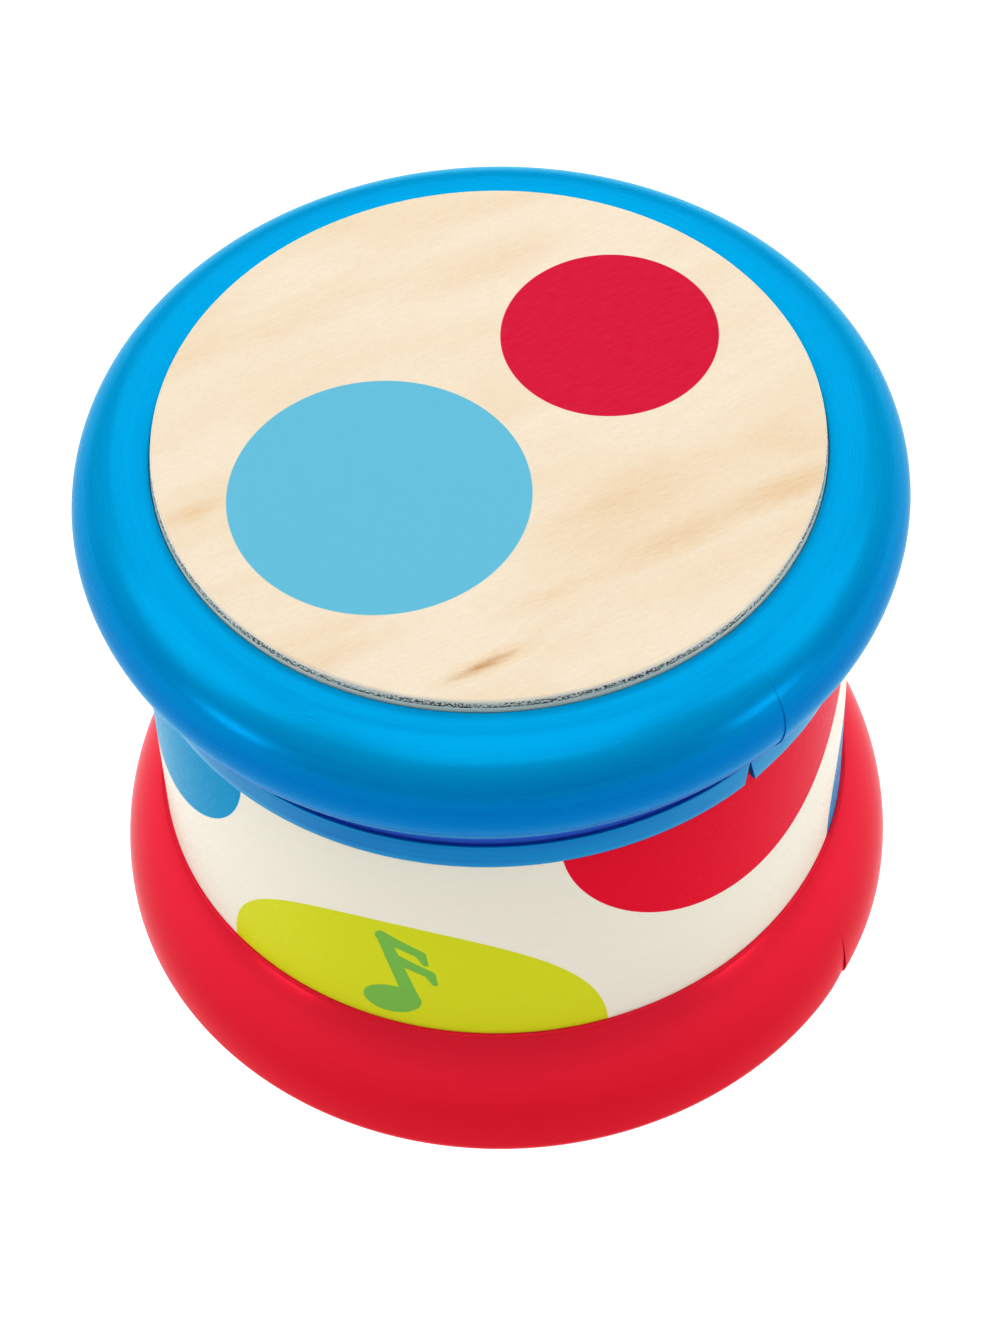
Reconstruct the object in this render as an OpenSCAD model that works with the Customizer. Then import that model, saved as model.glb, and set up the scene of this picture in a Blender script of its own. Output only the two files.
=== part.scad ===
// Small baby's drum: a sprung wooden head in a round rim, a plywood shell and a flared foot rim.
// Millimetres. Z is up, the floor is at z = 0 and the drum's axis is the Z axis.

/* [Overall] */
// Height from the floor to the top of the drum head
drum_h = 100; // [96:1:110]
// Diameter over both rims
rim_d = 123; // [121:0.5:127]
// How far the rims stand out from the shell
rim_out = 7.6; // [6.4:0.1:9]
// Thickness of the shell's wall
shell_wall = 3; // [2.6:0.1:3.2]
// Gap where two fixed pieces slide into each other
fit_gap = 0.1; // [0.05:0.05:0.2]

/* [Drum head] */
// How far the head's edge lies inside the shell's outer face
head_in = 4.7; // [4.4:0.1:5.2]
// Thickness of the wooden head
head_t = 4; // [3:0.5:5]
// Round on the head's edges
head_edge = 0.5; // [0.3:0.1:0.8]
// Gap all round between the head and the top rim
head_gap = 0.4; // [0.3:0.05:0.6]
// Height of the head above the crest of the top rim
head_proud = 1.8; // [1.5:0.1:2.4]
// Travel of the head when it is tapped
head_travel = 1.2; // [0.8:0.1:1.4]

/* [Top rim] */
// Diameter of the round section of the top rim
bead_d = 19.8; // [17.8:0.2:21.8]
// Height of the skirt below the round section
skirt_h = 9.7; // [6:0.1:14]
// Thickness of the skirt
skirt_t = 1.1; // [0.8:0.1:1.6]
// Width of the seam where the ends of a rim meet
seam_w = 0.2; // [0.1:0.05:0.4]
// Direction of the top rim's seam, in degrees from +X
top_seam_at = -50; // [-60:1:-30]

/* [Bottom rim] */
// Height of the flare
flare_h = 23.6; // [20:0.2:30]
// Thickness of the flare at its top edge
flare_lip = 0.8; // [0.6:0.1:1.5]
// Radius of the flare's bulging flank
flank_r = 32; // [30:1:90]
// Round at the foot of the flare
foot_round = 3.3; // [2.5:0.1:4.5]
// Height of the tray's underside above the floor
foot_h = 3; // [2.6:0.2:4]
// How far the foot reaches in under the tray
foot_ledge = 4.5; // [3:0.5:5]
// Direction of the bottom rim's seam, in degrees from +X
bottom_seam_at = -31; // [-40:1:-10]

/* [Top deck] */
// Room between deck and carrier for the return springs
spring_room = 5.1; // [4.8:0.1:6]
// Thickness of the deck
web_t = 2; // [1.6:0.2:3]
// Depth of the deck below its flange
pan_depth = 3.1; // [2:0.1:3.6]
// Thickness of the flange on the shell's top edge
flange_t = 1.6; // [1.2:0.1:2]
// Thickness of the deck's upright wall
deck_wall = 1.6; // [1.2:0.1:1.8]

/* [Head carrier] */
// Thickness of the plate under the head
carrier_t = 2.4; // [2:0.2:3]
// Gap between the carrier and the deck's wall
carrier_gap = 0.8; // [0.5:0.1:1.2]
// Gap between the guide posts and the stop ring
post_in = 8.4; // [7:0.2:12]
// Diameter of a guide post
post_d = 5; // [4.5:0.1:5.4]
// Gap round a guide post in its bore
post_gap = 0.15; // [0.1:0.05:0.25]
// Length of the guide bores below the deck
guide_h = 4.5; // [3.5:0.5:6]
// Wall of the guides
guide_wall = 2; // [1.6:0.1:2.4]
// Diameter of the plunger that presses the dome
plunger_d = 6; // [5:0.2:6.6]

/* [Springs] */
// Outside diameter of a return spring
spring_d = 8.8; // [8.2:0.2:10]
// Wire of a return spring
spring_wire = 0.8; // [0.6:0.05:0.85]
// Turns of a return spring
spring_turns = 3; // [2:0.5:3]

/* [Sound board] */
// Length of the board
board_l = 46; // [44:1:50]
// Width of the board
board_w = 34; // [32:1:36]
// Thickness of the board
board_t = 1.6; // [1.2:0.1:2]
// Height of the pillars that carry the board
pillar_h = 4.9; // [4.6:0.1:6]
// Diameter of a pillar
pillar_d = 5.4; // [4.8:0.2:6]
// Height of the rubber dome
dome_h = 2.9; // [2.6:0.1:3.4]
// Diameter of the rubber dome's foot
dome_d = 12; // [10:0.5:14]
// Diameter of the sealed chip
blob_d = 9.4; // [8:0.2:12]
// Height of the sealed chip
blob_h = 1.8; // [1.2:0.1:2.4]
// Diameter of the capacitor
cap_d = 6.3; // [5:0.1:8]
// Length of the capacitor
cap_l = 8; // [6:0.5:11]
// Length of a plug
plug_l = 7.4; // [6:0.2:9]
// Width of a plug
plug_w = 5; // [4:0.2:6]
// Height of a plug
plug_h = 6; // [4:0.2:8]

/* [Bottom tray] */
// Thickness of the tray's floor
tray_t = 3.2; // [3.1:0.1:4]
// Height of the ring that centres the shell
spigot_h = 6; // [4:0.5:10]
// Gap between a screw column and the ring that centres the shell
column_gap = 1.8; // [1:0.2:2.6]
// Thickness of the ring that centres the shell
spigot_wall = 1.5; // [1.2:0.1:2]
// Diameter of a screw column
column_d = 8; // [7.6:0.2:8.6]
// Height of the tray's columns above its floor
column_h = 24; // [18:1:30]

/* [Speaker] */
// Diameter of the speaker
speaker_d = 40; // [38:1:41]
// Distance of the speaker from the drum's axis
speaker_x = 22; // [21.5:0.5:23]
// Diameter of the magnet
magnet_d = 22; // [18:1:23]
// Height of the magnet
magnet_h = 6; // [4:0.5:10]
// Thickness of the foam ring under the speaker
gasket_t = 0.8; // [0.5:0.1:1.5]
// Width of the speaker's flange
flange_w = 2.8; // [2.2:0.1:3.4]
// Depth of the speaker's basket
basket_h = 5; // [4:0.2:7]
// Thickness of the speaker's sheet metal
frame_t = 0.8; // [0.6:0.1:1]
// Thickness of the speaker's cone
cone_t = 0.4; // [0.3:0.05:0.6]
// Width of the speaker's soldering block
tag_w = 7; // [6:0.2:9]
// Height of the speaker's soldering block above its flange
tag_h = 3.6; // [3.4:0.1:4.4]
// Diameter of a grille hole
grille_d = 2.4; // [1.6:0.2:2.8]
// Distance between the rings of grille holes
grille_pitch = 5; // [4:0.2:6]

/* [Battery bay] */
// Diameter of a cell
cell_d = 10.5; // [10.3:0.1:10.7]
// Length of a cell with its stud
cell_l = 44.5; // [44:0.1:45]
// Distance between the cells' axes
cell_pitch = 11.4; // [11.2:0.1:12]
// Gap round the cells in the bay
bay_gap = 0.4; // [0.3:0.1:0.8]
// Room for a contact spring at the end of a cell
contact_room = 6.5; // [6:0.1:8]
// Thickness of a contact plate
plate_t = 0.5; // [0.3:0.1:0.6]
// Wire of a contact spring
contact_wire = 0.6; // [0.4:0.05:0.7]
// Turns of a contact spring
contact_turns = 3; // [2:0.5:4]
// Wall of the bay
bay_wall = 1.5; // [1.2:0.1:1.8]
// Distance of the bay from the drum's axis
bay_x = 21; // [20:0.5:22]

/* [Battery door] */
// Thickness of the door
door_t = 2; // [1.8:0.1:2.2]
// Gap round the door
door_gap = 0.3; // [0.2:0.05:0.5]
// Width of the ledge that the door closes against
door_ledge = 1.4; // [1.2:0.1:1.8]
// Length of the door's tongue beyond the bay, for its screw
door_tail = 9; // [8.5:0.5:10]
// Pitch of the grip grooves in the door
ridge_pitch = 2.4; // [2:0.1:3]
// Width of the door's tongue
tongue_w = 13; // [11:0.5:15]
// Width of a tab
tab_w = 6; // [4:0.5:7]
// Reach of a tab behind the tray's edge
tab_l = 2.5; // [2:0.1:3]
// Thickness of the tray's edge below a tab
tab_lip = 0.9; // [0.7:0.1:1]
// Wall of the boss that takes the door screw
door_boss_wall = 2.2; // [1.8:0.1:2.6]
// Diameter of the door screw
door_screw_d = 2.9; // [2.6:0.1:3]
// Reach of the door screw above the door
door_screw_l = 3.2; // [2.5:0.1:4]

/* [Power switch] */
// Sideways place of the switch
switch_x = 6.5; // [4:0.5:8]
// Gap between the middle of the switch and the ring that centres the shell
switch_in = 13.3; // [12:0.1:15]
// Travel of the slider
slide_travel = 4; // [3:0.5:5]
// Length of the slider's grip
grip_l = 4; // [3.6:0.2:5]
// Width of the slider's grip
grip_w = 3.4; // [3:0.2:4]
// Reach of the slider below the tray
grip_out = 1.2; // [0.8:0.1:1.6]
// Gap round the slider in its slot
slide_gap = 0.3; // [0.2:0.05:0.4]

/* [Screws] */
// Diameter of the long case screws
case_screw_d = 2.9; // [2.6:0.1:3.2]
// Length of a case screw in the deck's column
case_screw_l = 12; // [8:1:16]
// Diameter of the screws in the guide posts
post_screw_d = 2.4; // [2:0.1:2.6]
// Length of the screws in the guide posts
post_screw_l = 8; // [6:0.5:9]
// Diameter of the board's screws
board_screw_d = 2; // [1.8:0.1:2.2]
// Diameter of the speaker's screws
speaker_screw_d = 2.2; // [2:0.1:2.4]
// Height of the case screws' heads
case_head_h = 2.2; // [1.6:0.1:3]
// Head of the speaker's screws, which clamps the flange
clamp_head_d = 8; // [7.2:0.2:9]

/* [Wires] */
// Diameter of a wire
wire_d = 1.3; // [1:0.1:1.6]

/* [Hidden] */
$fn = 64;
e = 0.01;
rim_r = rim_d / 2;
shell_r = rim_r - rim_out;
head_r = shell_r - head_in;
bore_r = head_r + head_gap;
grip_r = shell_r + fit_gap;
spigot_r = shell_r - shell_wall - fit_gap;
pan_r = spigot_r - deck_wall;

tray_top = foot_h + tray_t;
carrier_bot = drum_h - head_t - carrier_t;
web_top = carrier_bot - spring_room;
web_bot = web_top - web_t;
flange_top = web_top + pan_depth;
shell_top = flange_top - flange_t;
bead_r = bead_d / 2;
bead_at = rim_r - bead_r;
bead_z = drum_h - head_proud - bead_r;
skirt_z = bead_z - bead_r - skirt_h;

carrier_r = pan_r - carrier_gap;
stop_w = 1.5;
stop_r = carrier_r - 2;
stop_gap = 0.05;
post_ring = stop_r - stop_w - post_in - 0.5;
guide_d = post_d + 2 * post_gap + 2 * guide_wall;
guide_bot = web_bot - guide_h;
post_end = guide_bot - 0.1;
washer_t = 0.8;
washer_d = guide_d - 0.4;
post_angles = [0, 120, 240];

board_top = web_bot - pillar_h;
board_bot = board_top - board_t;
board_in = 4;
board_holes = [for (x = [-1, 1], y = [-1, 1]) [x * (board_l / 2 - board_in), y * (board_w / 2 - board_in)]];
dome_top = board_top + dome_h;
plug_in = 7;
plug_x = board_l / 2 - plug_in;
plug_y = -board_w / 11;

column_angles = [60, 180, 300];
column_top = tray_top + column_h;
column_ring = spigot_r - spigot_wall - column_gap - column_d / 2;
shelf_t = 6;
shelf_z = column_top - shelf_t;

speaker_r = speaker_d / 2;
speaker_z = tray_top + gasket_t;
cone_r = speaker_r - flange_w;
tag_y = -speaker_r * 0.76;
tag_top = frame_t + tag_h;
ear_r = 2.6;
ear_at = speaker_r + ear_r + 0.4;

bay_in_w = cell_d + cell_pitch + 2 * bay_gap;
bay_in_l = cell_l + contact_room + 2 * plate_t;
bay_y = bay_in_l / 2;
door_top = foot_h + door_t;
ledge_z = door_top + 0.1;
cell_z = ledge_z + 0.7 + cell_d / 2;
bay_top = cell_z + cell_d / 2 + bay_gap;
door_w = bay_in_w + 2 * door_ledge;
door_y0 = -(bay_y + bay_wall + 1.5);
door_y1 = bay_y + bay_wall + door_tail;
door_screw_y = bay_y + bay_wall + door_tail / 2 + 0.2;
door_boss_d = door_screw_d + 2 * door_boss_wall;
door_boss_top = ledge_z + door_screw_l + 1 + bay_wall;
stud_h = 1;
stud_d = cell_d * 0.36;
contact_w = cell_d * 0.82;
tail_w = cell_d * 0.29;
tail_l = cell_d * 0.24;
tail_up = cell_d * 0.28;

switch_y = spigot_r - switch_in;
groove_w = grip_l * 0.15;
shuttle_l = grip_l * 1.6;
shuttle_w = grip_w * 1.35;
shuttle_t = grip_w * 0.7;
slot_l = grip_l + slide_travel + 2 * slide_gap;
slot_w = grip_w + 2 * slide_gap;
case_wall = 1.2;
case_floor = 0.8;
case_l = shuttle_l + slide_travel + 2 * slide_gap + 2 * case_wall;
case_w = shuttle_w + 2 * slide_gap + 2 * case_wall;
case_h = case_floor + shuttle_t + 2 * slide_gap + case_wall;
rib_t = case_wall;
rib_at = case_w / 2 + 0.1 + rib_t / 2;
rib_h = case_h * 0.6;

// Helpers

// Points of an arc from angle a to angle b
function arc(c, r, a, b, n = 20) = [
    for (i = [0:n]) let (t = a + (b - a) * i / n) c + r * [cos(t), sin(t)]
];

// Flat outline with four round corners, from x0, y0 to x1, y1
module rounded(x0, y0, x1, y1, r) {
    translate([x0 + r, y0]) square([x1 - x0 - 2 * r, y1 - y0]);
    translate([x0, y0 + r]) square([x1 - x0, y1 - y0 - 2 * r]);
    for (x = [x0 + r, x1 - r], y = [y0 + r, y1 - r]) translate([x, y]) circle(r);
}

// Upright ring between two radii and two heights
module ring(r0, r1, z0, z1) {
    translate([0, 0, z0]) difference() {
        cylinder(r = r1, h = z1 - z0);
        translate([0, 0, -1]) cylinder(r = r0, h = z1 - z0 + 2);
    }
}

// Upright round bar between two heights
module bar(d, z0, z1) {
    translate([0, 0, z0]) cylinder(d = d, h = z1 - z0);
}

// Places a copy at each angle of a pitch circle
module around(angles, r) {
    for (a = angles) rotate(a) translate([r, 0, 0]) children();
}

// Screw pointing up, its head's bearing face at z = 0, with a cross recess
module screw(d, l, head_d, head_h) {
    difference() {
        union() {
            translate([0, 0, -head_h]) cylinder(d = head_d, h = head_h);
            translate([0, 0, -e]) cylinder(d = d, h = l + e);
        }
        for (a = [0, 90])
            rotate(a) translate([-d * 0.65, -d * 0.13, -head_h - 1])
                cube([d * 1.3, d * 0.26, 1 + head_h * 0.5]);
    }
}

// One unbroken round wire along a list of points, given the sideways direction at each point
module wire_along(points, sides, r, n) {
    m = len(points);
    tangent = [
        for (i = [0:m - 1])
            let (v = points[min(i + 1, m - 1)] - points[max(i - 1, 0)])
                v / norm(v)
    ];
    across = [for (i = [0:m - 1]) let (v = cross(tangent[i], sides[i])) v / norm(v)];
    up = [for (i = [0:m - 1]) cross(across[i], tangent[i])];
    skin = [
        for (i = [0:m - 1], k = [0:n - 1])
            let (t = 360 * k / n)
                points[i] + r * (cos(t) * up[i] + sin(t) * across[i])
    ];
    low = [
        for (i = [0:m - 2], k = [0:n - 1])
            [i * n + k, i * n + (k + 1) % n, (i + 1) * n + k]
    ];
    high = [
        for (i = [0:m - 2], k = [0:n - 1])
            [i * n + (k + 1) % n, (i + 1) * n + (k + 1) % n, (i + 1) * n + k]
    ];
    start = [[for (k = [0:n - 1]) n - 1 - k]];
    end = [[for (k = [0:n - 1]) (m - 1) * n + k]];
    polyhedron(points = skin, faces = concat(low, high, start, end), convexity = 6);
}

// Coil spring from z = 0 to z = h, its mean radius changing from r0 to r1
module coil(r0, r1, h, wire, turns) {
    steps = 8 * turns;
    rise = h - wire;
    points = [
        for (i = [0:steps])
            let (t = i / steps, r = r0 + (r1 - r0) * t, a = 360 * turns * t)
                [r * cos(a), r * sin(a), wire / 2 + rise * t]
    ];
    out = [for (i = [0:steps]) let (a = 360 * turns * i / steps) [cos(a), sin(a), 0]];
    gap = min([for (i = [0:steps], j = [i + 6:1:steps]) norm(points[i] - points[j])]) - wire;
    echo(coil_gap = gap);
    wire_along(points, out, wire / 2, 6);
}

// Wire hanging from one point to another, with its pull at both ends
module lead(p0, v0, p1, v1, out) {
    n = 14;
    c0 = p0 + v0;
    c1 = p1 + v1;
    points = [
        for (i = [0:n])
            let (t = i / n, s = 1 - t)
                s * s * s * p0 + 3 * s * s * t * c0 + 3 * s * t * t * c1 + t * t * t * p1
    ];
    wire_along(points, [for (i = [0:n]) out], wire_d / 2, 8);
}

// Head and rims

module drum_head() color("BurlyWood") rotate_extrude() {
    z0 = drum_h - head_t;
    translate([0, z0]) square([head_r - head_edge, head_t]);
    translate([0, z0 + head_edge]) square([head_r, head_t - 2 * head_edge]);
    for (z = [z0 + head_edge, drum_h - head_edge]) translate([head_r - head_edge, z]) circle(head_edge);
}

module top_rim_section() difference() {
    union() {
        translate([bead_at, bead_z]) circle(bead_r);
        translate([grip_r, skirt_z + skirt_t / 2]) square([skirt_t, bead_z - skirt_z - skirt_t / 2]);
        translate([grip_r + skirt_t / 2, skirt_z + skirt_t / 2]) circle(skirt_t / 2);
    }
    translate([0, flange_top]) square([bore_r, bead_d]);
    square([grip_r, flange_top]);
}

module top_rim() color("DodgerBlue") {
    slit = seam_w / rim_r * 180 / PI;
    rotate(top_seam_at + slit / 2) rotate_extrude(angle = 360 - slit) top_rim_section();
}

module shell() color("Ivory") ring(shell_r - shell_wall, shell_r, tray_top, shell_top);

// Centre of the flank's arc: it passes the flare's top edge and runs smoothly into the foot round
module bottom_rim_section() {
    foot = [rim_r - foot_round, foot_round];
    lip = [grip_r + flare_lip, flare_h];
    d = norm(foot - lip);
    u = (foot - lip) / d;
    along = (flank_r * flank_r - pow(flank_r - foot_round, 2) + d * d) / (2 * d);
    c = lip + along * u + sqrt(flank_r * flank_r - along * along) * [u[1], -u[0]];
    a0 = atan2(foot[1] - c[1], foot[0] - c[0]);
    a1 = atan2(lip[1] - c[1], lip[0] - c[0]);
    inner = shell_r - foot_ledge;
    polygon(concat(
        [[grip_r, foot_h], [inner, foot_h]],
        arc([inner + 1, 1], 1, 180, 270, 6),
        arc(foot, foot_round, -90, a0, 16),
        arc(c, flank_r, a0, a1, 16),
        [[grip_r, flare_h]]
    ));
}

module bottom_rim() color("Crimson") {
    slit = seam_w / rim_r * 180 / PI;
    rotate(bottom_seam_at + slit / 2) rotate_extrude(angle = 360 - slit) bottom_rim_section();
}

// Head mechanism

module head_carrier() color("WhiteSmoke") {
    difference() {
        union() {
            translate([0, 0, carrier_bot]) cylinder(r = carrier_r, h = carrier_t);
            bar(plunger_d, dome_top + 0.1, carrier_bot + e);
            around(post_angles, post_ring) bar(post_d, post_end, carrier_bot + e);
        }
        around(post_angles, post_ring) bar(post_screw_d + 0.1, post_end - 1, post_end + post_screw_l);
    }
}

module head_springs() color("Silver") {
    r = (spring_d - spring_wire) / 2;
    around(post_angles, post_ring) translate([0, 0, web_top + 0.05])
        coil(r, r, spring_room - 0.1, spring_wire, spring_turns);
}

module post_washers() color("LightSlateGray") {
    around(post_angles, post_ring) difference() {
        bar(washer_d, post_end - washer_t, post_end);
        bar(post_screw_d + 0.3, post_end - washer_t - 1, post_end + 1);
    }
}

module post_screws() color("DimGray") {
    around(post_angles, post_ring) translate([0, 0, post_end - washer_t])
        screw(post_screw_d, post_screw_l, 2 * post_screw_d, 1.6);
}

module top_deck() color("Gainsboro") {
    difference() {
        union() {
            bar(2 * spigot_r, web_bot, web_top);
            ring(pan_r, spigot_r, web_bot, flange_top);
            ring(pan_r, shell_r, shell_top, flange_top);
            ring(stop_r - stop_w, stop_r, web_top - e, carrier_bot - head_travel - stop_gap);
            around(post_angles, post_ring) bar(guide_d, guide_bot, web_top);
            around(column_angles, column_ring) bar(column_d, column_top, web_top);
            for (p = board_holes) translate(p) bar(pillar_d, board_top, web_top);
        }
        bar(plunger_d + 2, web_bot - 1, web_top + 1);
        around(post_angles, post_ring) bar(post_d + 2 * post_gap, guide_bot - 1, web_top + 1);
        around(column_angles, column_ring)
            bar(case_screw_d + 0.1, column_top - 1, column_top + case_screw_l + 1);
        for (p = board_holes) translate(p) bar(board_screw_d + 0.1, board_top - 1, board_top + pillar_h);
    }
}

// Sound board

module circuit_board() color("SeaGreen") difference() {
    translate([0, 0, board_bot]) linear_extrude(board_t)
        rounded(-board_l / 2, -board_w / 2, board_l / 2, board_w / 2, 2);
    for (p = board_holes) translate(p) bar(board_screw_d + 0.3, board_bot - 1, board_top + 1);
}

module board_parts() color("DarkSlateGray") {
    ball_r = (blob_d * blob_d / 4 + blob_h * blob_h) / (2 * blob_h);
    translate([-board_l / 8, board_w / 8, board_bot]) intersection() {
        translate([0, 0, ball_r - blob_h]) sphere(ball_r);
        translate([-blob_d, -blob_d, -2 * blob_h]) cube([2 * blob_d, 2 * blob_d, 2 * blob_h]);
    }
    translate([board_l / 6, board_w / 6, 0]) bar(cap_d, board_bot - cap_l, board_bot);
    for (x = [-1, 1])
        translate([x * plug_x - plug_l / 2, plug_y - plug_w / 2, board_bot - plug_h])
            cube([plug_l, plug_w, plug_h]);
}

module board_screws() color("DimGray") {
    for (p = board_holes)
        translate([p[0], p[1], board_bot])
            screw(board_screw_d, board_t + pillar_h - 1, 2 * board_screw_d, 1.4);
}

module switch_dome() color("DarkOrange") translate([0, 0, board_top]) rotate_extrude() polygon([
    [dome_d * 0.28, 0], [dome_d / 2, 0], [dome_d / 2, dome_h * 0.24], [dome_d * 0.38, dome_h * 0.24],
    [dome_d * 0.27, dome_h * 0.65], [dome_d * 0.27, dome_h], [0, dome_h], [0, dome_h * 0.48],
    [dome_d * 0.2, dome_h * 0.48], [dome_d * 0.28, dome_h * 0.17]
]);

// Bottom tray

// The door's outline grown by g: a plate over the bay and a tongue for the screw
module door_outline(g) {
    rounded(-door_w / 2 - g, door_y0 - g, door_w / 2 + g, -door_y0 + g, 1.2 + g);
    rounded(-tongue_w / 2 - g, 0, tongue_w / 2 + g, door_y1 + g, 2 + g);
}

module tray_floor_cuts() {
    translate([speaker_x, 0, 0]) {
        bar(grille_d, foot_h - 1, tray_top + 1);
        for (k = [1:2])
            around([for (i = [0:6 * k - 1]) 60 * i / k], grille_pitch * k)
                bar(grille_d, foot_h - 1, tray_top + 1);
    }
    translate([-bay_x, 0, foot_h - 1]) linear_extrude(ledge_z - foot_h + 1) door_outline(door_gap);
    translate([-bay_x - bay_in_w / 2, -bay_y, foot_h]) cube([bay_in_w, bay_in_l, bay_top - foot_h]);
    for (x = [-1, 1]) translate([-bay_x + x * cell_pitch / 2, 0, 0]) {
        translate([-tab_w / 2 - 0.4, door_y0 - tab_l - 0.5, foot_h + tab_lip])
            cube([tab_w + 0.8, tab_l + 0.5 + 1.4, tray_t]);
        translate([-tail_w / 2 - 0.2, bay_y - 1, cell_z + tail_up - 0.4])
            cube([tail_w + 0.4, bay_wall + 2, plate_t + 0.8]);
    }
    translate([-bay_x, door_screw_y, 0]) bar(door_screw_d + 0.8, foot_h, door_boss_top - bay_wall);
    translate([switch_x - slot_l / 2, switch_y - slot_w / 2, foot_h - 1])
        cube([slot_l, slot_w, tray_t + 2]);
    around(column_angles, column_ring) {
        bar(2 * case_screw_d + 0.6, foot_h - 1, shelf_z);
        bar(case_screw_d + 0.5, foot_h, column_top + 1);
    }
}

module bottom_tray() color("FireBrick") difference() {
    union() {
        bar(2 * shell_r, foot_h, tray_top);
        ring(spigot_r - spigot_wall, spigot_r, tray_top - e, tray_top + spigot_h);
        around(column_angles, column_ring) bar(column_d, tray_top - e, column_top);
        translate([-bay_x - bay_in_w / 2 - bay_wall, -bay_y - bay_wall, tray_top - e])
            cube([bay_in_w + 2 * bay_wall, bay_in_l + 2 * bay_wall, bay_top + bay_wall - tray_top + e]);
        translate([-bay_x, door_screw_y, 0]) bar(door_boss_d, tray_top - e, door_boss_top);
        translate([speaker_x, 0, 0]) {
            ring(speaker_r + 0.3, speaker_r + 1.8, tray_top - e, speaker_z + frame_t);
            around([90, 270], ear_at) bar(2 * ear_r, tray_top - e, speaker_z + frame_t);
        }
        for (y = [-1, 1])
            translate([switch_x - case_l / 2, switch_y + y * rib_at - rib_t / 2, tray_top - e])
                cube([case_l, rib_t, rib_h]);
    }
    tray_floor_cuts();
    translate([speaker_x, 0, 0]) around([90, 270], ear_at)
        bar(speaker_screw_d + 0.1, tray_top - 1.5, speaker_z + frame_t + 1);
}

module case_screws() color("DimGray") {
    around(column_angles, column_ring) translate([0, 0, shelf_z])
        screw(case_screw_d, shelf_t + case_screw_l, 2 * case_screw_d, case_head_h);
}

// Speaker

module speaker_frame() color("LightSteelBlue") translate([speaker_x, 0, speaker_z]) {
    r = speaker_r;
    m = magnet_d / 2 + 1;
    difference() {
        union() {
            rotate_extrude() polygon([
                [0, 0], [r, 0], [r, frame_t], [r - flange_w * 0.4, frame_t], [m, basket_h],
                [m, basket_h + frame_t], [0, basket_h + frame_t]
            ]);
            translate([-tag_w / 2, tag_y - tag_w / 3, frame_t / 2])
                cube([tag_w, tag_w * 2 / 3, tag_top - frame_t / 2]);
        }
        rotate_extrude() polygon([
            [0, -1], [cone_r, -1], [cone_r, frame_t], [m - frame_t, basket_h - frame_t],
            [m - frame_t, basket_h], [m / 4, basket_h], [m / 4, basket_h + 2 * frame_t],
            [0, basket_h + 2 * frame_t]
        ]);
    }
}

module speaker_magnet() color("SlateGray") translate([speaker_x, 0, 0])
    bar(magnet_d, speaker_z + basket_h + frame_t, speaker_z + basket_h + frame_t + magnet_h);

module speaker_cone() color("DarkSlateGray") translate([speaker_x, 0, speaker_z]) {
    h = basket_h * 0.68;
    rotate_extrude() polygon([
        [0, h], [cone_r * 0.3, h], [cone_r * 0.87, 0.1], [cone_r, 0.1], [cone_r, 0.1 + cone_t],
        [cone_r * 0.88, 0.1 + cone_t], [cone_r * 0.31, h + cone_t], [0, h + cone_t]
    ]);
}

module speaker_gasket() color("DimGray") translate([speaker_x, 0, 0])
    ring(cone_r - 0.8, speaker_r, tray_top, speaker_z);

module speaker_screws() color("DimGray") translate([speaker_x, 0, speaker_z + frame_t])
    around([90, 270], ear_at) rotate([180, 0, 0])
        screw(speaker_screw_d, gasket_t + frame_t + 1, clamp_head_d, 1.4);

// Batteries

module battery_door() color("FireBrick") translate([-bay_x, 0, 0]) difference() {
    union() {
        translate([0, 0, foot_h]) linear_extrude(door_t) door_outline(0);
        for (x = [-1, 1])
            translate([x * cell_pitch / 2 - tab_w / 2, door_y0 - tab_l, foot_h + tab_lip + 0.1])
                cube([tab_w, tab_l + 2, door_t - tab_lip - 0.1]);
    }
    translate([0, door_screw_y, 0]) {
        bar(2 * door_screw_d + 0.6, foot_h - 1, foot_h + 1.3);
        bar(door_screw_d + 0.4, foot_h, door_top + 1);
    }
    for (i = [0:2])
        translate([-tongue_w / 2, -door_y0 - ridge_pitch * (i + 1.5), foot_h - 1])
            cube([tongue_w, ridge_pitch / 2, 1.5]);
}

module door_screw() color("Silver") translate([-bay_x, door_screw_y, foot_h + 1.25])
    screw(door_screw_d, door_t - 1.25 + door_screw_l, 2 * door_screw_d, 1.1);

module battery_cells() color("SteelBlue") for (s = [-1, 1])
    translate([-bay_x - s * cell_pitch / 2, s * (bay_y - plate_t), cell_z]) rotate([s * 90, 0, 0]) {
        cylinder(d = stud_d, h = stud_h + e);
        translate([0, 0, stud_h]) cylinder(d = cell_d, h = cell_l - stud_h);
    }

module contact_plates() color("Silver") translate([-bay_x, 0, cell_z]) {
    w = cell_pitch + contact_w;
    translate([-w / 2, -bay_y, -contact_w / 2]) cube([w, plate_t, contact_w]);
    for (x = [-1, 1]) translate([x * cell_pitch / 2, bay_y - plate_t, 0]) {
        translate([-contact_w / 2, 0, -contact_w / 2]) cube([contact_w, plate_t, contact_w]);
        translate([-tail_w / 2, 0, tail_up]) cube([tail_w, plate_t + bay_wall + tail_l, plate_t]);
    }
}

module contact_springs() color("Silver") for (s = [-1, 1])
    translate([-bay_x - s * cell_pitch / 2, -s * (bay_y - plate_t - 0.05), cell_z]) rotate([-s * 90, 0, 0])
        coil(cell_d * 0.32, cell_d * 0.23, contact_room - 0.1, contact_wire, contact_turns);

// Power switch

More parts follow.
